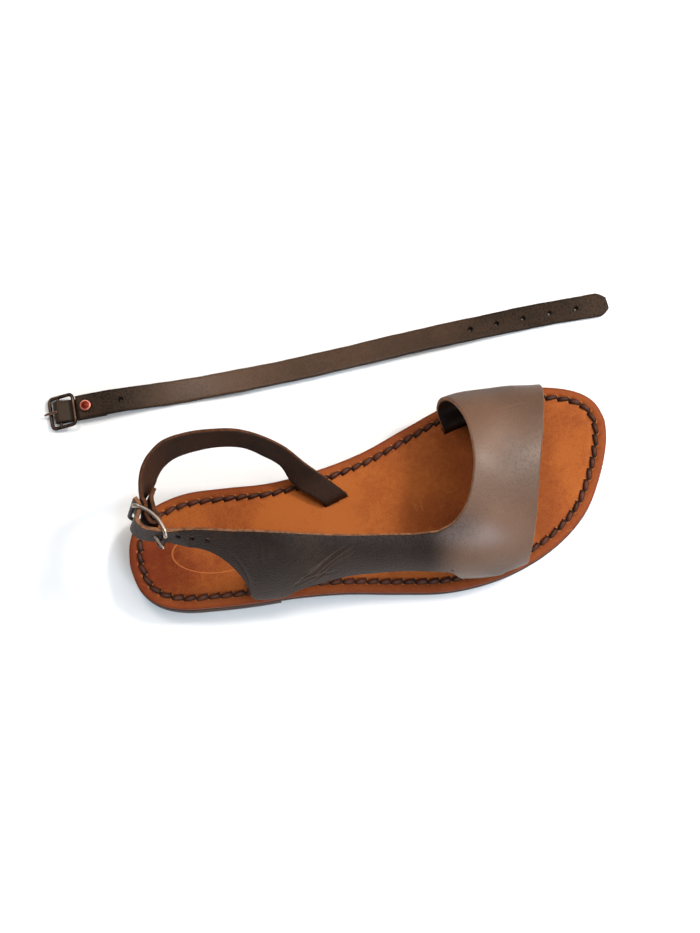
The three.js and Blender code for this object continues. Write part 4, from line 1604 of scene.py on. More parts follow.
@dataclass(frozen=True)
class BuckleFrame:
    """Place of a buckle: along it, across its width and out of the foot."""

    centre: Array
    along: Array
    out: Array

    @property
    def width(self) -> Array:
        """Direction across the buckle."""
        return unit(np.cross(self.out, self.along))

    def place(self, a: Array | float, b: Array | float, c: Array | float) -> Array:
        """Turns buckle sizes into points.

        Args:
            a: Along the buckle.
            b: Across it.
            c: Out of it.

        Returns:
            Points in millimetres.
        """
        a, b, c = np.broadcast_arrays(*(np.asarray(v, float) for v in (a, b, c)))
        return (
            self.centre
            + a[..., None] * self.along
            + b[..., None] * self.width
            + c[..., None] * self.out
        )


@dataclass(frozen=True)
class BuckleForm:
    """Sizes of a wire buckle with a middle bar."""

    length: float
    width: float
    wire: float
    bow: float
    bar: float
    # Strength of the painted highlight along the frame's upward-facing rail; where it is given, the
    # rest of the frame and the prong are coloured darker.
    rail_highlight: float = 0.0

    @property
    def bar_place(self) -> tuple[float, float]:
        """Middle bar's place along the buckle and out of it."""
        reach = self.length / 2
        a = reach * (2 * self.bar - 1)
        return a, -self.bow * (1 - (a / reach) ** 2)

    @property
    def stand(self) -> float:
        """Height of a prong's middle above the wire's middle."""
        return self.wire / 2 + CLEARANCE + PRONG_WIRE / 2

    def prong_line(self) -> tuple[Array, Array]:
        """Start and end of the prong's shank, along the buckle and out of it.

        Returns:
            The two ends.
        """
        a, c = self.bar_place
        start = np.array([a, c + self.stand])
        over = np.array([-self.length / 2, self.stand])
        run = over - start
        reach = np.linalg.norm(run)
        return start, start + run / reach * (reach + 1.6 * PRONG_WIRE)


PRONG_WIRE = 1.7
HEEL_BUCKLE = BuckleForm(21.4, 18.2, 2.2, 3.0, 0.5, rail_highlight=1.0)
ANKLE_BUCKLE = BuckleForm(13.6, 16.4, 1.9, 0.0, 0.37)
BILLET_WIDTH = 12.4
BILLET_LIFT = 0.1 * BILLET_WIDTH


def heel_frame() -> BuckleFrame:
    """Place of the heel buckle.

    Returns:
        Its frame.
    """
    heading, lean = math.radians(122.5), math.radians(20)
    along = unit(np.array([math.cos(heading), math.sin(heading), math.tan(math.radians(4))]))
    sine = math.sin(lean)
    up = np.array([math.sin(heading) * sine, -math.cos(heading) * sine, math.cos(lean)])
    out = unit(np.cross(up, along))
    x = float(SOLE.to_x(0.0752))
    centre = np.array([x, 0.122 * SOLE.ball_width, float(SOLE.footbed(x)) + 0.842 * LAST.height])
    return BuckleFrame(centre + out, along, out)


HEEL_FRAME = heel_frame()


@dataclass(frozen=True)
class Crease:
    """A soft trough with a ridge beside it, drawn over the last."""

    line: tuple[tuple[float, float], ...]
    width: float
    depth: float
    lip: float = 0.45

    def relief(self, points: Array) -> Array:
        """Height that the crease adds at points.

        Args:
            points: Points of the middle surface, shaped (count, 3).

        Returns:
            Heights in millimetres, below zero in the trough.
        """
        table = np.array(self.line)
        dense = sample(table, np.linspace(0, len(table) - 1, 4 * len(table)))
        route = LAST.point(dense[:, 0], dense[:, 1])
        distance, place = line_distance(points, route)
        fade = np.sin(math.pi * np.clip(place * 0.94 + 0.03, 0.0, 1.0)) ** 0.6
        trough = -np.exp(-((distance / self.width) ** 2))
        ridge = self.lip * np.exp(-(((distance - 1.9 * self.width) / self.width) ** 2))
        return self.depth * fade * (trough + ridge)


@dataclass
class Upper:
    """The one piece of leather that makes the toe band, the outer quarter and the billet."""

    last: LastForm = LAST
    columns: int = 76
    step: float = 0.95
    # X where the toe band's painted sheen starts, which paints it lighter than the quarter of the
    # same dark leather, and over what length.
    sheen_start: float = 112.0
    sheen_fade: float = 22.0
    # Height of the slow waves in the leather, and how strongly each crease's trough is painted with
    # shade and its ridge with a highlight.
    wave: float = 0.16
    crease_shading: float = 0.5
    hole_radius: float = 1.3
    prong_hole_radius: float = 1.35
    # Painted highlights of the sheen on the toe band: near the throat's inner top and low on the
    # outer side.
    PAINTED_SHEEN = (
        ToneSpot(155, 22, 15, 0.46),
        ToneSpot(147, -30, 13, 0.4, 1.4),
    )
    # Painted shade on the toe band: along its inner top edge where it turns away, near its join
    # with the quarter, over its middle and along its lower outer hem.
    PAINTED_SHADE = (
        ToneSpot(168, 51, 10, -0.6, 3.0),
        ToneSpot(135, -25, 8, -0.42, 1.3),
        ToneSpot(168, 0, 15, -0.24, 1.0),
        ToneSpot(151, -51, 5, -0.5, 2.4),
    )
    # Top edge along and girth, then hem along and girth, from the inner slit on.
    RUNGS = (
        (0.677, 1.20, 0.872, 1.20),
        (0.677, 1.00, 0.872, 1.00),
        (0.671, 0.90, 0.877, 0.90),
        (0.669, 0.82, 0.881, 0.80),
        (0.680, 0.70, 0.882, 0.68),
        (0.692, 0.55, 0.880, 0.56),
        (0.702, 0.39, 0.873, 0.42),
        (0.706, 0.25, 0.861, 0.29),
        (0.701, 0.11, 0.844, 0.14),
        (0.693, 0.00, 0.823, -0.01),
        (0.677, -0.10, 0.803, -0.17),
        (0.661, -0.17, 0.785, -0.34),
        (0.645, -0.22, 0.771, -0.48),
        (0.628, -0.26, 0.761, -0.62),
        (0.614, -0.28, 0.756, -0.80),
        (0.602, -0.29, 0.750, -1.00),
        (0.594, -0.30, 0.750, -1.20),
        (0.580, -0.30, 0.708, -1.20),
        (0.566, -0.30, 0.664, -1.20),
        (0.558, -0.30, 0.664, -1.00),
        (0.550, -0.30, 0.659, -0.84),
        (0.538, -0.295, 0.645, -0.71),
        (0.520, -0.287, 0.600, -0.62),
        (0.470, -0.265, 0.511, -0.61),
        (0.410, -0.230, 0.425, -0.60),
        (0.360, -0.190, 0.352, -0.595),
        (0.327, -0.165, 0.313, -0.62),
        (0.307, -0.150, 0.293, -0.70),
        (0.297, -0.145, 0.281, -0.84),
        (0.293, -0.143, 0.276, -1.00),
        (0.290, -0.142, 0.276, -1.20),
        (0.260, -0.126, 0.260, -1.20),
        (0.234, -0.118, 0.231, -1.20),
        (0.227, -0.116, 0.231, -1.00),
        (0.221, -0.114, 0.225, -0.78),
        (0.214, -0.112, 0.224, -0.56),
        (0.205, -0.110, 0.219, -0.43),
        (0.190, -0.107, 0.204, -0.32),
        (0.170, -0.108, 0.183, -0.25),
        (0.150, -0.115, 0.160, -0.228),
        (0.131, -0.124, 0.139, -0.230),
    )
    # Along the buckle, out of it at the top edge and at the lower edge, and lift.
    BILLET = (
        (-0.90, -0.34, -0.30, 0.11),
        (-0.48, 0.06, 0.14, 0.1),
        (0.00, 0.38, 0.46, 0.1),
        (0.46, 0.33, 0.40, 0.1),
        (0.64, 0.00, 0.02, 0.1),
        (0.80, -0.22, -0.22, 0.1),
        (1.02, -0.30, -0.30, 0.1),
        (1.22, -0.34, -0.34, 0.1),
    )
    HOLES = (0.125, 0.149, 0.176)
    HOLE_GIRTH = -0.165
    CREASES = (
        Crease(
            ((0.322, -0.505), (0.346, -0.466), (0.372, -0.410), (0.404, -0.342), (0.426, -0.305)),
            0.75,
            0.48,
        ),
        Crease(((0.334, -0.456), (0.358, -0.420), (0.388, -0.362), (0.414, -0.318)), 0.6, 0.36),
        Crease(((0.360, -0.476), (0.385, -0.420), (0.410, -0.371), (0.432, -0.334)), 0.6, 0.34),
        Crease(((0.330, -0.556), (0.360, -0.516), (0.394, -0.428), (0.422, -0.370)), 0.6, 0.3),
        Crease(((0.312, -0.530), (0.330, -0.492), (0.350, -0.440)), 0.5, 0.24),
        Crease(((0.386, -0.470), (0.410, -0.415), (0.436, -0.366)), 0.5, 0.2),
        Crease(((0.255, -0.192), (0.253, -0.240), (0.253, -0.285), (0.251, -0.325)), 0.5, 0.24),
        Crease(((0.264, -0.201), (0.261, -0.250), (0.260, -0.300)), 0.45, 0.22),
        Crease(((0.273, -0.191), (0.271, -0.240), (0.269, -0.290), (0.265, -0.340)), 0.5, 0.24),
        Crease(((0.244, -0.213), (0.242, -0.270), (0.242, -0.330)), 0.5, 0.2),
        Crease(((0.212, -0.251), (0.221, -0.322), (0.227, -0.419), (0.227, -0.520)), 0.9, 0.26),
        Crease(((0.282, -0.202), (0.283, -0.262), (0.281, -0.330)), 0.6, 0.2),
        Crease(((0.305, -0.560), (0.328, -0.520), (0.356, -0.505), (0.391, -0.510)), 0.9, 0.24),
        Crease(((0.769, 0.345), (0.800, 0.366), (0.830, 0.377), (0.858, 0.381)), 0.5, 0.2),
    )

    def rung(self, row: Array) -> Array:
        """Draws one rung over the last, from the top edge to the hem.

        Args:
            row: Top edge along and girth, hem along and girth.

        Returns:
            Points of the rung, shaped (columns + 1, 3).
        """
        top_along, top_girth, hem_along, hem_girth = row
        entry = 1.0
        if top_girth < 1 and hem_girth < -1:
            entry = (top_girth + 1) / (top_girth - hem_girth)
        t = np.linspace(0.0, 1.0, 181)
        along = top_along + (hem_along - top_along) * np.minimum(t / entry, 1.0)
        curve = self.last.point(along, top_girth + (hem_girth - top_girth) * t)
        return spread(curve, self.columns, 3.0)

    def grid(self) -> Array:
        """Middle surface of the leather.

        Returns:
            Points shaped (rows, columns + 1, 3).
        """
        rows = sample(self.RUNGS, np.linspace(0, len(self.RUNGS) - 1, 4 * len(self.RUNGS) - 3))
        rungs = list(relax(np.stack([self.rung(row) for row in rows]), 4))
        reach = HEEL_BUCKLE.length / 2
        t = np.linspace(0.0, 1.0, self.columns + 1)
        for a, top_out, low_out, lift in self.BILLET:
            out = (top_out + (low_out - top_out) * t) * reach
            across = BILLET_WIDTH * (t - 0.5 - lift)
            rungs.append(HEEL_FRAME.place(np.full_like(t, a * reach), across, out))
        return refine(np.stack(rungs), self.step)

    def tone(self, points: Array) -> Array:
        """How light the leather is painted: sheen on the toe band, over the quarter's own dark
        colour.

        Args:
            points: Points of the surface.

        Returns:
            Tone from 0 to 1.
        """
        x, y = points[:, 0], points[:, 1]
        # Painted sheen: the toe band is painted lighter than the quarter, and the painted
        # highlights and painted shade are laid on the band only.
        band = smooth((x - self.sheen_start - 0.2 * (y + 40)) / self.sheen_fade)
        even = toned(points, 0.0, self.PAINTED_SHEEN)
        shade = toned(points, 0.5, self.PAINTED_SHADE) - 0.5
        return np.clip(0.05 + 0.66 * band + even * band + shade * band, 0.0, 1.0)

    def build(self, effects: Effects) -> list[bpy.types.Object]:
        """Builds and dresses the upper.

        Args:
            effects: Shared node groups.

        Returns:
            The one object.
        """
        grid = self.grid()
        flat = grid.reshape(-1, 3)
        relief = sum(crease.relief(flat) for crease in self.CREASES)
        wave = np.sin(flat[:, 0] * 0.21 + 1.3) * np.sin(flat[:, 1] * 0.17 + 0.4)
        relief += self.wave * wave * np.clip((flat[:, 2] - 13) / 12, 0.0, 1.0)
        surface = thick_sheet(grid, self.last.wall, relief.reshape(grid.shape[:2]))
        raised = sum(crease.relief(surface.points) for crease in self.CREASES)
        # Painted shade in each crease's trough and a painted highlight on its ridge.
        tone = self.tone(surface.points) + self.crease_shading * raised
        surface.values["tone"] = np.clip(tone, 0.0, 1.0)
        shell = surface.to_object("upper_leather_shell")
        cut_holes(shell, self.holes())
        shell.data.materials.append(Leather.UPPER.value.build(effects))
        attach(shell, Body.SANDAL.value)
        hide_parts("upper")
        return [shell]

    def holes(self) -> list[Surface]:
        """Cutters of the billet's punched holes.

        Returns:
            The closed cutters.
        """
        cutters = []
        for along in self.HOLES:
            spots = self.last.point(
                np.array([along, along + 0.01, along]),
                np.array([self.HOLE_GIRTH, self.HOLE_GIRTH, self.HOLE_GIRTH * 1.2]),
            )
            normal = unit(np.cross(spots[1] - spots[0], spots[2] - spots[0])) * 4.0
            cutters.append(pin(spots[0] - normal, spots[0] + normal, self.hole_radius))
        start, end = HEEL_BUCKLE.prong_line()
        first = HEEL_FRAME.place(start[0] - PRONG_WIRE, -BILLET_LIFT, start[1])
        last = HEEL_FRAME.place(end[0], -BILLET_LIFT, end[1])
        cutters.append(pin(first, last, self.prong_hole_radius))
        return cutters


@dataclass
class Buckle:
    """A wire buckle with its prong."""

    name: str
    form: BuckleForm
    place: BuckleFrame
    side: float
    finish: Metal
    prong_body: Body

    def wire(self) -> Surface:
        """Outer wire and middle bar of the frame.

        Returns:
            The closed surfaces.
        """
        form = self.form
        reach, half = form.length / 2, form.width / 2
        corner = form.wire * 1.2
        plan = []
        for a, b, start in ((1, 1, 0), (-1, 1, 90), (-1, -1, 180), (1, -1, 270)):
            for step in np.linspace(0, 90, 10):
                angle = math.radians(start + step)
                turn = corner * np.array([math.cos(angle), math.sin(angle)])
                plan.append(np.array([a * (reach - corner), b * (half - corner)]) + turn)
        corners = np.array(plan + plan[:1])
        run = path_length(corners)
        goals = np.linspace(0.0, run[-1], 121)[:-1]
        a = np.interp(goals, run, corners[:, 0])
        b = np.interp(goals, run, corners[:, 1])
        c = -form.bow * (1 - (a / reach) ** 2)
        local = np.column_stack([a, b, c])
        ring = sweep(local, form.wire / 2, 16, ring=True, flat=0.85)
        bar_a, bar_c = form.bar_place
        ends = np.linspace(-half, half, 9)
        bar_line = np.column_stack([np.full(9, bar_a), ends, np.full(9, bar_c)])
        bar = sweep(bar_line, form.wire / 2.3, 16)
        both = ring.joined(bar)
        # The "rubbed" value is lighter towards the top of the wire, and on the heel buckle it also
        # holds a painted highlight along the upward-facing rail.
        top = both.points[:, 2] - np.interp(both.points[:, 0], np.sort(a), c[np.argsort(a)])
        rail = form.rail_highlight * smooth((-both.points[:, 1] / half - 0.7) / 0.25)
        level = top / form.wire + 0.35 - 0.45 * form.rail_highlight + 1.3 * rail
        both.values["rubbed"] = np.clip(level, 0.0, 1.0)
        return both

    def prong(self) -> Surface:
        """Prong with its eye round the middle bar.

        Returns:
            The closed surfaces.
        """
        form = self.form
        bar_a, bar_c = form.bar_place
        start, end = form.prong_line()
        across = np.array([0.0, 1.0, 0.0])
        radius = form.wire / 2 + CLEARANCE + PRONG_WIRE * 0.38
        angle = np.linspace(0.0, 2 * math.pi, 28, endpoint=False)
        side = np.full(len(angle), self.side)
        loop = np.column_stack(
            [bar_a + radius * np.cos(angle), side, bar_c + radius * np.sin(angle)]
        )
        eye = sweep(loop, 0.62, 12, ring=True, level=across)
        t = np.linspace(0.0, 1.0, 24)
        droop = 0.35 * smooth((t - 0.75) / 0.25)
        line = np.column_stack(
            [
                start[0] + (end[0] - start[0]) * t,
                np.full(len(t), self.side),
                start[1] + (end[1] - start[1]) * t - droop,
            ]
        )
        shank = sweep(line, 0.84 - 0.30 * smooth((t - 0.3) / 0.7), 12, level=across)
        both = eye.joined(shank)
        level = (both.points[:, 2] - bar_c) / 4.0 + 0.25 - 0.5 * form.rail_highlight
        both.values["rubbed"] = np.clip(level, 0.0, 1.0)
        return both

    def seated(self, surface: Surface) -> Surface:
        """Moves a surface from the buckle's own sizes to its place.

        Args:
            surface: Surface in the buckle's frame.

        Returns:
            The surface in the part's frame.
        """
        a, b, c = surface.points.T
        surface.points = self.place.place(a, b, c)
        return outward(surface)

    def build(self, effects: Effects) -> list[bpy.types.Object]:
        """Builds and dresses the frame and the prong.

        Args:
            effects: Shared node groups.

        Returns:
            The two objects.
        """
        material = self.finish.value.build(effects)
        made = []
        for part, shape, body in (
            ("frame", self.wire(), Body.SANDAL),
            ("prong", self.prong(), self.prong_body),
        ):
            node = f"{self.name}_{part}"
            piece = self.seated(shape).to_object(f"{node}_metal")
            piece.data.materials.append(material)
            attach(piece, body.value)
            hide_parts(node)
            made.append(piece)
        return made


@dataclass
class HeelStrap:
    """The strap from the arch slit round the inner side to the heel buckle."""

    width: float = 12.5
    wall: float = 2.1
    columns: int = 12
    # Along, across and height of the strap's front edge, then of its back edge.
    ROUTE = (
        (0.449, 0.113, 0.05, 0.404, 0.084, 0.05),
        (0.437, 0.150, 0.10, 0.392, 0.116, 0.09),
        (0.412, 0.222, 0.16, 0.367, 0.176, 0.10),
        (0.385, 0.286, 0.31, 0.350, 0.236, 0.14),
        (0.353, 0.370, 0.53, 0.338, 0.308, 0.30),
        (0.314, 0.432, 0.73, 0.310, 0.360, 0.50),
        (0.273, 0.475, 0.86, 0.279, 0.410, 0.62),
        (0.230, 0.496, 0.92, 0.240, 0.437, 0.68),
        (0.186, 0.506, 0.96, 0.196, 0.443, 0.725),
        (0.140, 0.494, 0.99, 0.152, 0.432, 0.755),
        (0.111, 0.453, 0.985, 0.124, 0.402, 0.745),
        (0.092, 0.400, 0.98, 0.107, 0.361, 0.73),
        (0.081, 0.339, 0.96, 0.096, 0.322, 0.71),
    )
    # Along the buckle, then how far out the upper and the lower edge are, before and
    # behind the fold round the bar.
    APPROACH = ((1.09, -0.60, -0.84), (0.75, -0.50, -0.56), (0.36, -0.16, -0.19))
    RETURN = (
        (0.36, -0.62, -0.62),
        (0.70, -0.84, -0.84),
        (0.86, -1.04, -1.02),
        (0.95, -1.28, -1.22),
    )

    def grid(self) -> Array:
        """Middle surface of the strap.

        Returns:
            Points shaped (rows, columns + 1, 3).
        """
        t = np.linspace(0.0, 1.0, self.columns + 1)[:, None]

        def row(first: Array, second: Array) -> Array:
            """Points from one edge to the other."""
            return first + (second - first) * t

        def point(along: float, y: float, height: float) -> Array:
            """A point over the footbed, from shares of the sole and of the last."""
            x = float(SOLE.to_x(along))
            return np.array([x, y * SOLE.ball_width, float(SOLE.footbed(x)) + height * LAST.height])

        rows = [row(point(*r[:3]), point(*r[3:])) for r in self.ROUTE]
        foot = rows[0].copy()
        foot[:, 2] = SOLE.footbed(foot[:, 0]) - 3.4
        reach, half = HEEL_BUCKLE.length / 2, self.width / 2

        def framed(a: float, upper: float, lower: float) -> Array:
            """A row in the heel buckle's frame."""
            return row(
                HEEL_FRAME.place(a * reach, -BILLET_LIFT - half, upper * reach),
                HEEL_FRAME.place(a * reach, -BILLET_LIFT + half, lower * reach),
            )

        bar_a, bar_c = HEEL_BUCKLE.bar_place
        radius = HEEL_BUCKLE.wire / 2 + CLEARANCE + self.wall / 2
        fold = []
        for degrees in range(60, 301, 20):
            angle = math.radians(degrees)
            a = (bar_a + radius * math.cos(angle)) / reach
            out = (bar_c + radius * math.sin(angle)) / reach
            fold.append(framed(a, out, out))
        approach = [framed(*r) for r in self.APPROACH]
        back = [framed(*r) for r in self.RETURN]
        return refine(np.stack([foot, *rows, *approach, *fold, *back]), 0.9)

    def build(self, effects: Effects) -> list[bpy.types.Object]:
        """Builds and dresses the strap.

        Args:
            effects: Shared node groups.

        Returns:
            The one object.
        """
        surface = thick_sheet(self.grid(), self.wall)
        x, y = surface.points[:, 0], surface.points[:, 1]
        red = smooth((14 - x) / 22) * smooth((y - 20) / 16)
        surface.values["tone"] = np.clip(0.25 + 0.5 * red, 0.0, 1.0)
        strap = surface.to_object("heel_strap_leather")
        strap.data.materials.append(Leather.STRAP.value.build(effects))
        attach(strap, Body.SANDAL.value)
        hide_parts("heel_strap")
        return [strap]


@dataclass
class AnkleStrap:
    """The loose strap that lies beside the sandal, with its leather loop and rivet."""

    length: float = 288.0
    width: float = 12.0
    wall: float = 2.3
    offset: float = 92.0
    start: float = -40.2
    chape_width: float = 10.8
    chape_wall: float = 1.6
    chape_length: float = 24.0
    bar_gap: float = 10.0
    clearance: float = CLEARANCE
    rivet_place: float = 0.016
    roll: float = 2.4
    columns: int = 13
    # Lone hole's place, then the first of the five from the tip and their spacing.
    lone_hole: float = 0.08
    first_hole: float = 17.3
    hole_pitch: float = 14.6
    # Sideways place of the strap's middle at even steps, as shares of the ball's width.
    CURVE = (-0.002, -0.024, -0.052, -0.072, -0.080, -0.083, -0.092, -0.104, -0.128)

    @property
    def chape_top(self) -> float:
        """Height of the loop's two layers."""
        return 2 * self.chape_wall + self.clearance

    def y(self, share: Array | float) -> Array:
        """Y of the strap's middle.

        Args:
            share: Share of the strap's length.

        Returns:
            Y in millimetres.
        """
        table = np.array(self.CURVE)[:, None]
        spot = np.asarray(share, float) * (len(self.CURVE) - 1)
        return self.offset + sample(table, spot)[:, 0] * SOLE.ball_width

    def x(self, share: Array | float) -> Array:
        """X of the strap's middle at shares of its length."""
        return self.start + np.asarray(share, float) * self.length

    def frame(self) -> BuckleFrame:
        """Place of the loose strap's buckle.

        Returns:
            Its frame.
        """
        form = ANKLE_BUCKLE
        bar_a, _ = form.bar_place
        bar_height = self.chape_wall + self.clearance + form.wire / 2
        keeper = self.chape_top + 2 * self.clearance + form.wire / 2
        sine = (keeper - bar_height) / (form.length / 2 - bar_a)
        y0, y1 = float(self.y(0.0)[0]), float(self.y(0.1)[0])
        heading = math.atan2(y1 - y0, 0.1 * self.length)
        cosine = math.sqrt(1 - sine * sine)
        along = np.array([math.cos(heading) * cosine, math.sin(heading) * cosine, sine])
        out = np.cross(along, np.array([-math.sin(heading), math.cos(heading), 0.0]))
        bar = np.array(
            [self.start - self.bar_gap, y0 - self.bar_gap * math.tan(heading), bar_height]
        )
        return BuckleFrame(bar - along * bar_a, along, out)

    def strap(self) -> bpy.types.Object:
        """Builds the strap with its holes and clipped tip.

        Returns:
            The object.
        """
        tip = 1 - 0.022 * (1 - np.linspace(0, 1, 20)[1:]) ** 2
        share = np.concatenate([np.linspace(0, 0.978, 300), tip])
        from_tip = (1 - share) * self.length
        clipped = np.clip(1 - from_tip / 4.6, 0.0, 1.0)
        half = self.width / 2 * (1 - 0.38 * clipped - 0.17 * clipped**3)
        half = half * (1 + 0.012 * np.sin(share * 47) + 0.008 * np.sin(share * 131))
        run = share * self.length + self.bar_gap - self.chape_length
        settled = smooth((run - 2) / (1.6 * self.chape_length))
        low = (self.chape_top + self.clearance) * (1 - settled)
        columns = np.linspace(-1, 1, self.columns)
        x, y = self.x(share), self.y(share)
        grid = np.stack(
            [
                np.repeat(x[:, None], self.columns, axis=1),
                y[:, None] + half[:, None] * columns,
                np.repeat((low + self.wall / 2)[:, None], self.columns, axis=1),
            ],
            axis=2,
        )
        twist = self.roll * smooth((share - 0.14) / 0.2) * smooth((0.95 - share) / 0.3)
        grid[:, :, 2] += twist[:, None] * (1 - columns) / 2
        surface = thick_sheet(grid, self.wall)
        # Painted sheen: a painted highlight over the strap's left middle, fading along it, and
        # painted shade towards both ends where the sheen falls off.
        spots = (
            ToneSpot(self.start + 74, self.offset, 24, 0.6, 1.3),
            ToneSpot(self.start + 150, self.offset, 34, 0.33, 2.0),
            ToneSpot(self.start + 246, self.offset, 34, -0.32, 1.3),
            ToneSpot(self.start + 16, self.offset, 20, -0.25),
        )
        surface.values["tone"] = toned(surface.points, 0.25, spots)
        strap = surface.to_object("loose_strap_leather")
        places = [self.lone_hole]
        for number in range(5):
            places.append(1 - (self.first_hole + self.hole_pitch * number) / self.length)
        cutters = [self._hole(surface, place, 1.45, 0.3) for place in places]
        cutters.append(self._hole(surface, self.rivet_place, 1.5, 1.0))
        cut_holes(strap, cutters)
        return strap

    def _hole(self, strap: Surface, share: float, radius: float, waist: float) -> Surface:
        """Cutter of one punched hole, which may be narrower below.

        Args:
            strap: The leather to cut.
            share: The hole's place as a share of the strap's length.
            radius: Its radius at the top face.
            waist: Its radius at the lower face as a share of that.

        Returns:
            The closed cutter.
        """
        place = np.array([float(self.x(share)), float(self.y(share)[0])])
        near = np.linalg.norm(strap.points[:, :2] - place, axis=1) < 2.5
        low, high = np.min(strap.points[near, 2]), np.max(strap.points[near, 2])
        slope = radius * (1.0 - waist) / (high - low)
        ends = [np.array([*place, low - 0.5]), np.array([*place, high + 0.5])]
        return pin(ends[0], ends[1], radius * waist - 0.5 * slope, last=radius + 0.5 * slope)

    def chape(self) -> bpy.types.Object:
        """Builds the leather loop round the buckle's bar.

        Returns:
            The object.
        """
        buckle = self.frame()
        form = ANKLE_BUCKLE
        bar_a, _ = form.bar_place
        bar_height = self.chape_wall + self.clearance + form.wire / 2
        radius = bar_height - self.chape_wall / 2
        leg = 1.5 * self.chape_wall + self.clearance
        half_wall = self.chape_wall / 2
        profile = [(self.chape_length, half_wall), (self.chape_length / 2, half_wall)]
        for degrees in range(-90, -271, -15):
            angle = math.radians(degrees)
            profile.append((radius * math.cos(angle), bar_height + radius * math.sin(angle)))
        reach = form.length / 2 - bar_a
        profile += [
            (reach * 0.45, (bar_height + radius + leg) / 2),
            (reach * 0.85, leg),
            (self.chape_length / 2, leg),
            (self.chape_length, leg),
        ]
        bar = buckle.place(bar_a, 0.0, 0.0)
        heading = unit(buckle.along * np.array([1.0, 1.0, 0.0]))
        shares = np.linspace(-0.5, 0.5, 9)
        rows = []
        for run, height in profile:
            spot = np.array([bar[0], bar[1], height]) + heading * run
            rows.append([spot + buckle.width * share * self.chape_width for share in shares])
        surface = thick_sheet(refine(np.array(rows), 0.8), self.chape_wall)
        # Painted shade: the loop is coloured darker low down by the floor and lighter higher up.
        surface.values["tone"] = np.clip((surface.points[:, 2] - 1.5) / 4, 0.0, 0.8)
        return surface.to_object("strap_loop_leather")

    def rivet(self) -> bpy.types.Object:
        """Builds the rivet with its domed head.

        Returns:
            The object.
        """
        seat = self.chape_top + self.wall + 2 * self.clearance
        profile = [
            (0.0, 0.35),
            (1.2, 0.35),
            (1.2, seat),
            (3.05, seat),
            (3.2, seat + 0.25),
            (3.12, seat + 0.7),
            (2.85, seat + 1.1),
            (2.45, seat + 1.28),
            (2.1, seat + 1.22),
            (1.7, seat + 1.2),
            (1.0, seat + 1.55),
            (0.5, seat + 1.72),
            (0.0, seat + 1.76),
        ]
        surface = lathe([(max(r, 0.01), z) for r, z in profile])
        reach = np.hypot(surface.points[:, 0], surface.points[:, 1])
        surface.values["rubbed"] = np.clip(np.exp(-(((reach - 2.6) / 0.5) ** 2)), 0.0, 1.0)
        x, y = float(self.x(self.rivet_place)), float(self.y(self.rivet_place)[0])
        surface.points = surface.points + np.array([x, y, 0.0])
        return surface.to_object("rivet_metal")

    def build(self, effects: Effects) -> list[bpy.types.Object]:
        """Builds and dresses the strap, its loop and its rivet.

        Args:
            effects: Shared node groups.

        Returns:
            The objects.
        """
        pieces = [self.strap(), self.chape(), self.rivet()]
        finishes = (Leather.LOOSE, Leather.CHAPE, Metal.RIVET)
        nodes = ("ankle_strap", "ankle_chape", "ankle_rivet")
        for piece, finish, node in zip(pieces, finishes, nodes):
            piece.data.materials.append(finish.value.build(effects))
            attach(piece, Body.SANDAL.value)
            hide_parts(node)
        return pieces


@dataclass(frozen=True)
class Lamp:
    """A soft square lamp, placed and pointed in metres."""

    name: str
    place: tuple[float, float, float]
    target: tuple[float, float, float]
    size: float
    watts: float
    tint: tuple[float, float, float]

    def add(self) -> None:
        """Adds the lamp to the scene."""
        lamp = bpy.data.lights.new(self.name, "AREA")
        lamp.shape = "SQUARE"
        lamp.size = self.size
        lamp.energy = self.watts
        lamp.color = self.tint
        holder = bpy.data.objects.new(self.name, lamp)
        run = Vector(self.target) - Vector(self.place)
        holder.rotation_euler = run.to_track_quat("-Z", "Y").to_euler()
        holder.location = self.place
        bpy.context.scene.collection.objects.link(holder)


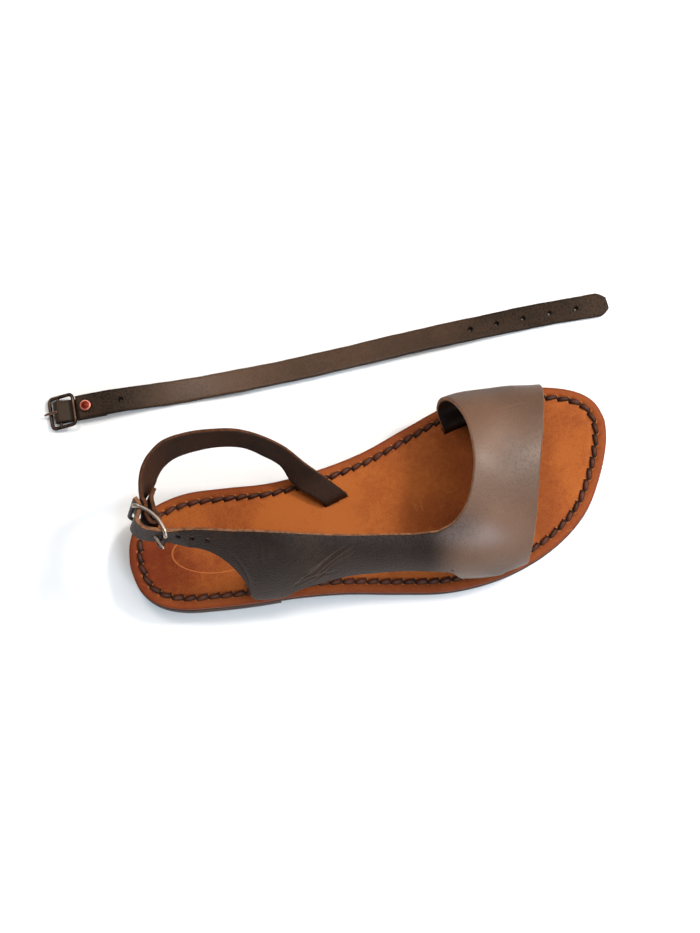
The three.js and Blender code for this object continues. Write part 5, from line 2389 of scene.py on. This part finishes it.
@dataclass
class Setting:
    """Plain pale floor, soft light from above and the camera."""

    eye: tuple[float, float, float] = (59.1, -98.1, 606.45)
    yaw: float = math.radians(14.40)
    target: tuple[float, float, float] = (91.16, 26.71, 0.0)
    lens: float = 45.57
    floor_reach: float = 2500.0
    floor_drop: float = 0.15
    sky_strength: float = 0.26
    lamps: tuple[Lamp, ...] = (
        Lamp("key", (0.92, 0.20, 0.86), (0.12, 0.0, 0.0), 0.16, 7.5, (1.0, 0.96, 0.91)),
        Lamp("broad", (0.86, 0.10, 0.92), (0.12, 0.0, 0.0), 1.2, 8.5, (1.0, 0.96, 0.92)),
        Lamp("second", (-0.06, 0.55, 1.10), (0.05, 0.06, 0.0), 0.34, 4.4, (1.0, 0.95, 0.90)),
        Lamp("fill", (0.42, -0.90, 0.70), (0.12, 0.0, 0.0), 0.5, 9.0, (0.70, 0.85, 1.0)),
    )

    def build(self) -> None:
        """Adds the floor, the lamps, the sky and the camera."""
        self.floor()
        for lamp in self.lamps:
            lamp.add()
        world = bpy.data.worlds.new("sky")
        world.use_nodes = True
        sky = world.node_tree.nodes["Background"]
        sky.inputs["Color"].default_value = (1.0, 1.0, 1.0, 1.0)
        sky.inputs["Strength"].default_value = self.sky_strength
        bpy.context.scene.world = world
        bpy.context.scene.view_settings.view_transform = "Standard"
        self.camera()

    def floor(self) -> None:
        """Lays the floor under the sandal."""
        signs = ((-1, -1), (1, -1), (1, 1), (-1, 1))
        corners = [(a * self.floor_reach, b * self.floor_reach, -self.floor_drop) for a, b in signs]
        ground = Surface(np.array(corners), [(0, 1, 2, 3)]).to_object("floor")
        material, _, shader = new_material("pale_floor")
        shader.inputs["Base Color"].default_value = (0.97, 0.97, 0.97, 1.0)
        shader.inputs["Roughness"].default_value = 0.9
        shader.inputs["Specular IOR Level"].default_value = 0.1
        ground.data.materials.append(material)

    def camera(self) -> None:
        """Adds the camera."""
        eye, target = np.array(self.eye), np.array(self.target)
        forward = unit(target - eye)
        right = np.array([math.cos(self.yaw), -math.sin(self.yaw), 0.0])
        right = unit(right - forward * float(np.dot(right, forward)))
        up = np.cross(right, forward)
        lens = bpy.data.cameras.new("camera")
        lens.sensor_fit = "VERTICAL"
        lens.sensor_height = 36.0
        lens.lens = self.lens
        lens.clip_start = 0.01
        holder = bpy.data.objects.new("camera", lens)
        columns = np.column_stack([right, up, -forward, eye * MM])
        matrix = np.vstack([columns, [0.0, 0.0, 0.0, 1.0]])
        holder.matrix_world = Matrix(matrix.tolist())
        bpy.context.scene.collection.objects.link(holder)
        bpy.context.scene.camera = holder


def main() -> None:
    """Builds every piece in order and reports it."""
    logging.basicConfig(level=logging.INFO, format="%(name)s: %(message)s")
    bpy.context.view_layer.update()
    effects = Effects()
    ankle = AnkleStrap()
    heel_buckle = Buckle(
        "heel_buckle", HEEL_BUCKLE, HEEL_FRAME, -BILLET_LIFT, Metal.BUCKLE, Body.SANDAL
    )
    ankle_buckle = Buckle(
        "ankle_buckle", ANKLE_BUCKLE, ankle.frame(), 0.0, Metal.DARK, Body.ANKLE_PRONG
    )
    builders = {
        "sole": SolePile(),
        "lace": EdgeLace(),
        "upper": Upper(),
        "heel strap": HeelStrap(),
        "heel buckle": heel_buckle,
        "ankle strap": ankle,
        "ankle buckle": ankle_buckle,
    }
    for name, builder in builders.items():
        pieces = builder.build(effects)
        faces = sum(len(piece.data.polygons) for piece in pieces)
        LOG.info("%s: %d pieces, %d faces", name, len(pieces), faces)
    Setting().build()
    LOG.info("setting ready")


if __name__ == "__main__":
    main()
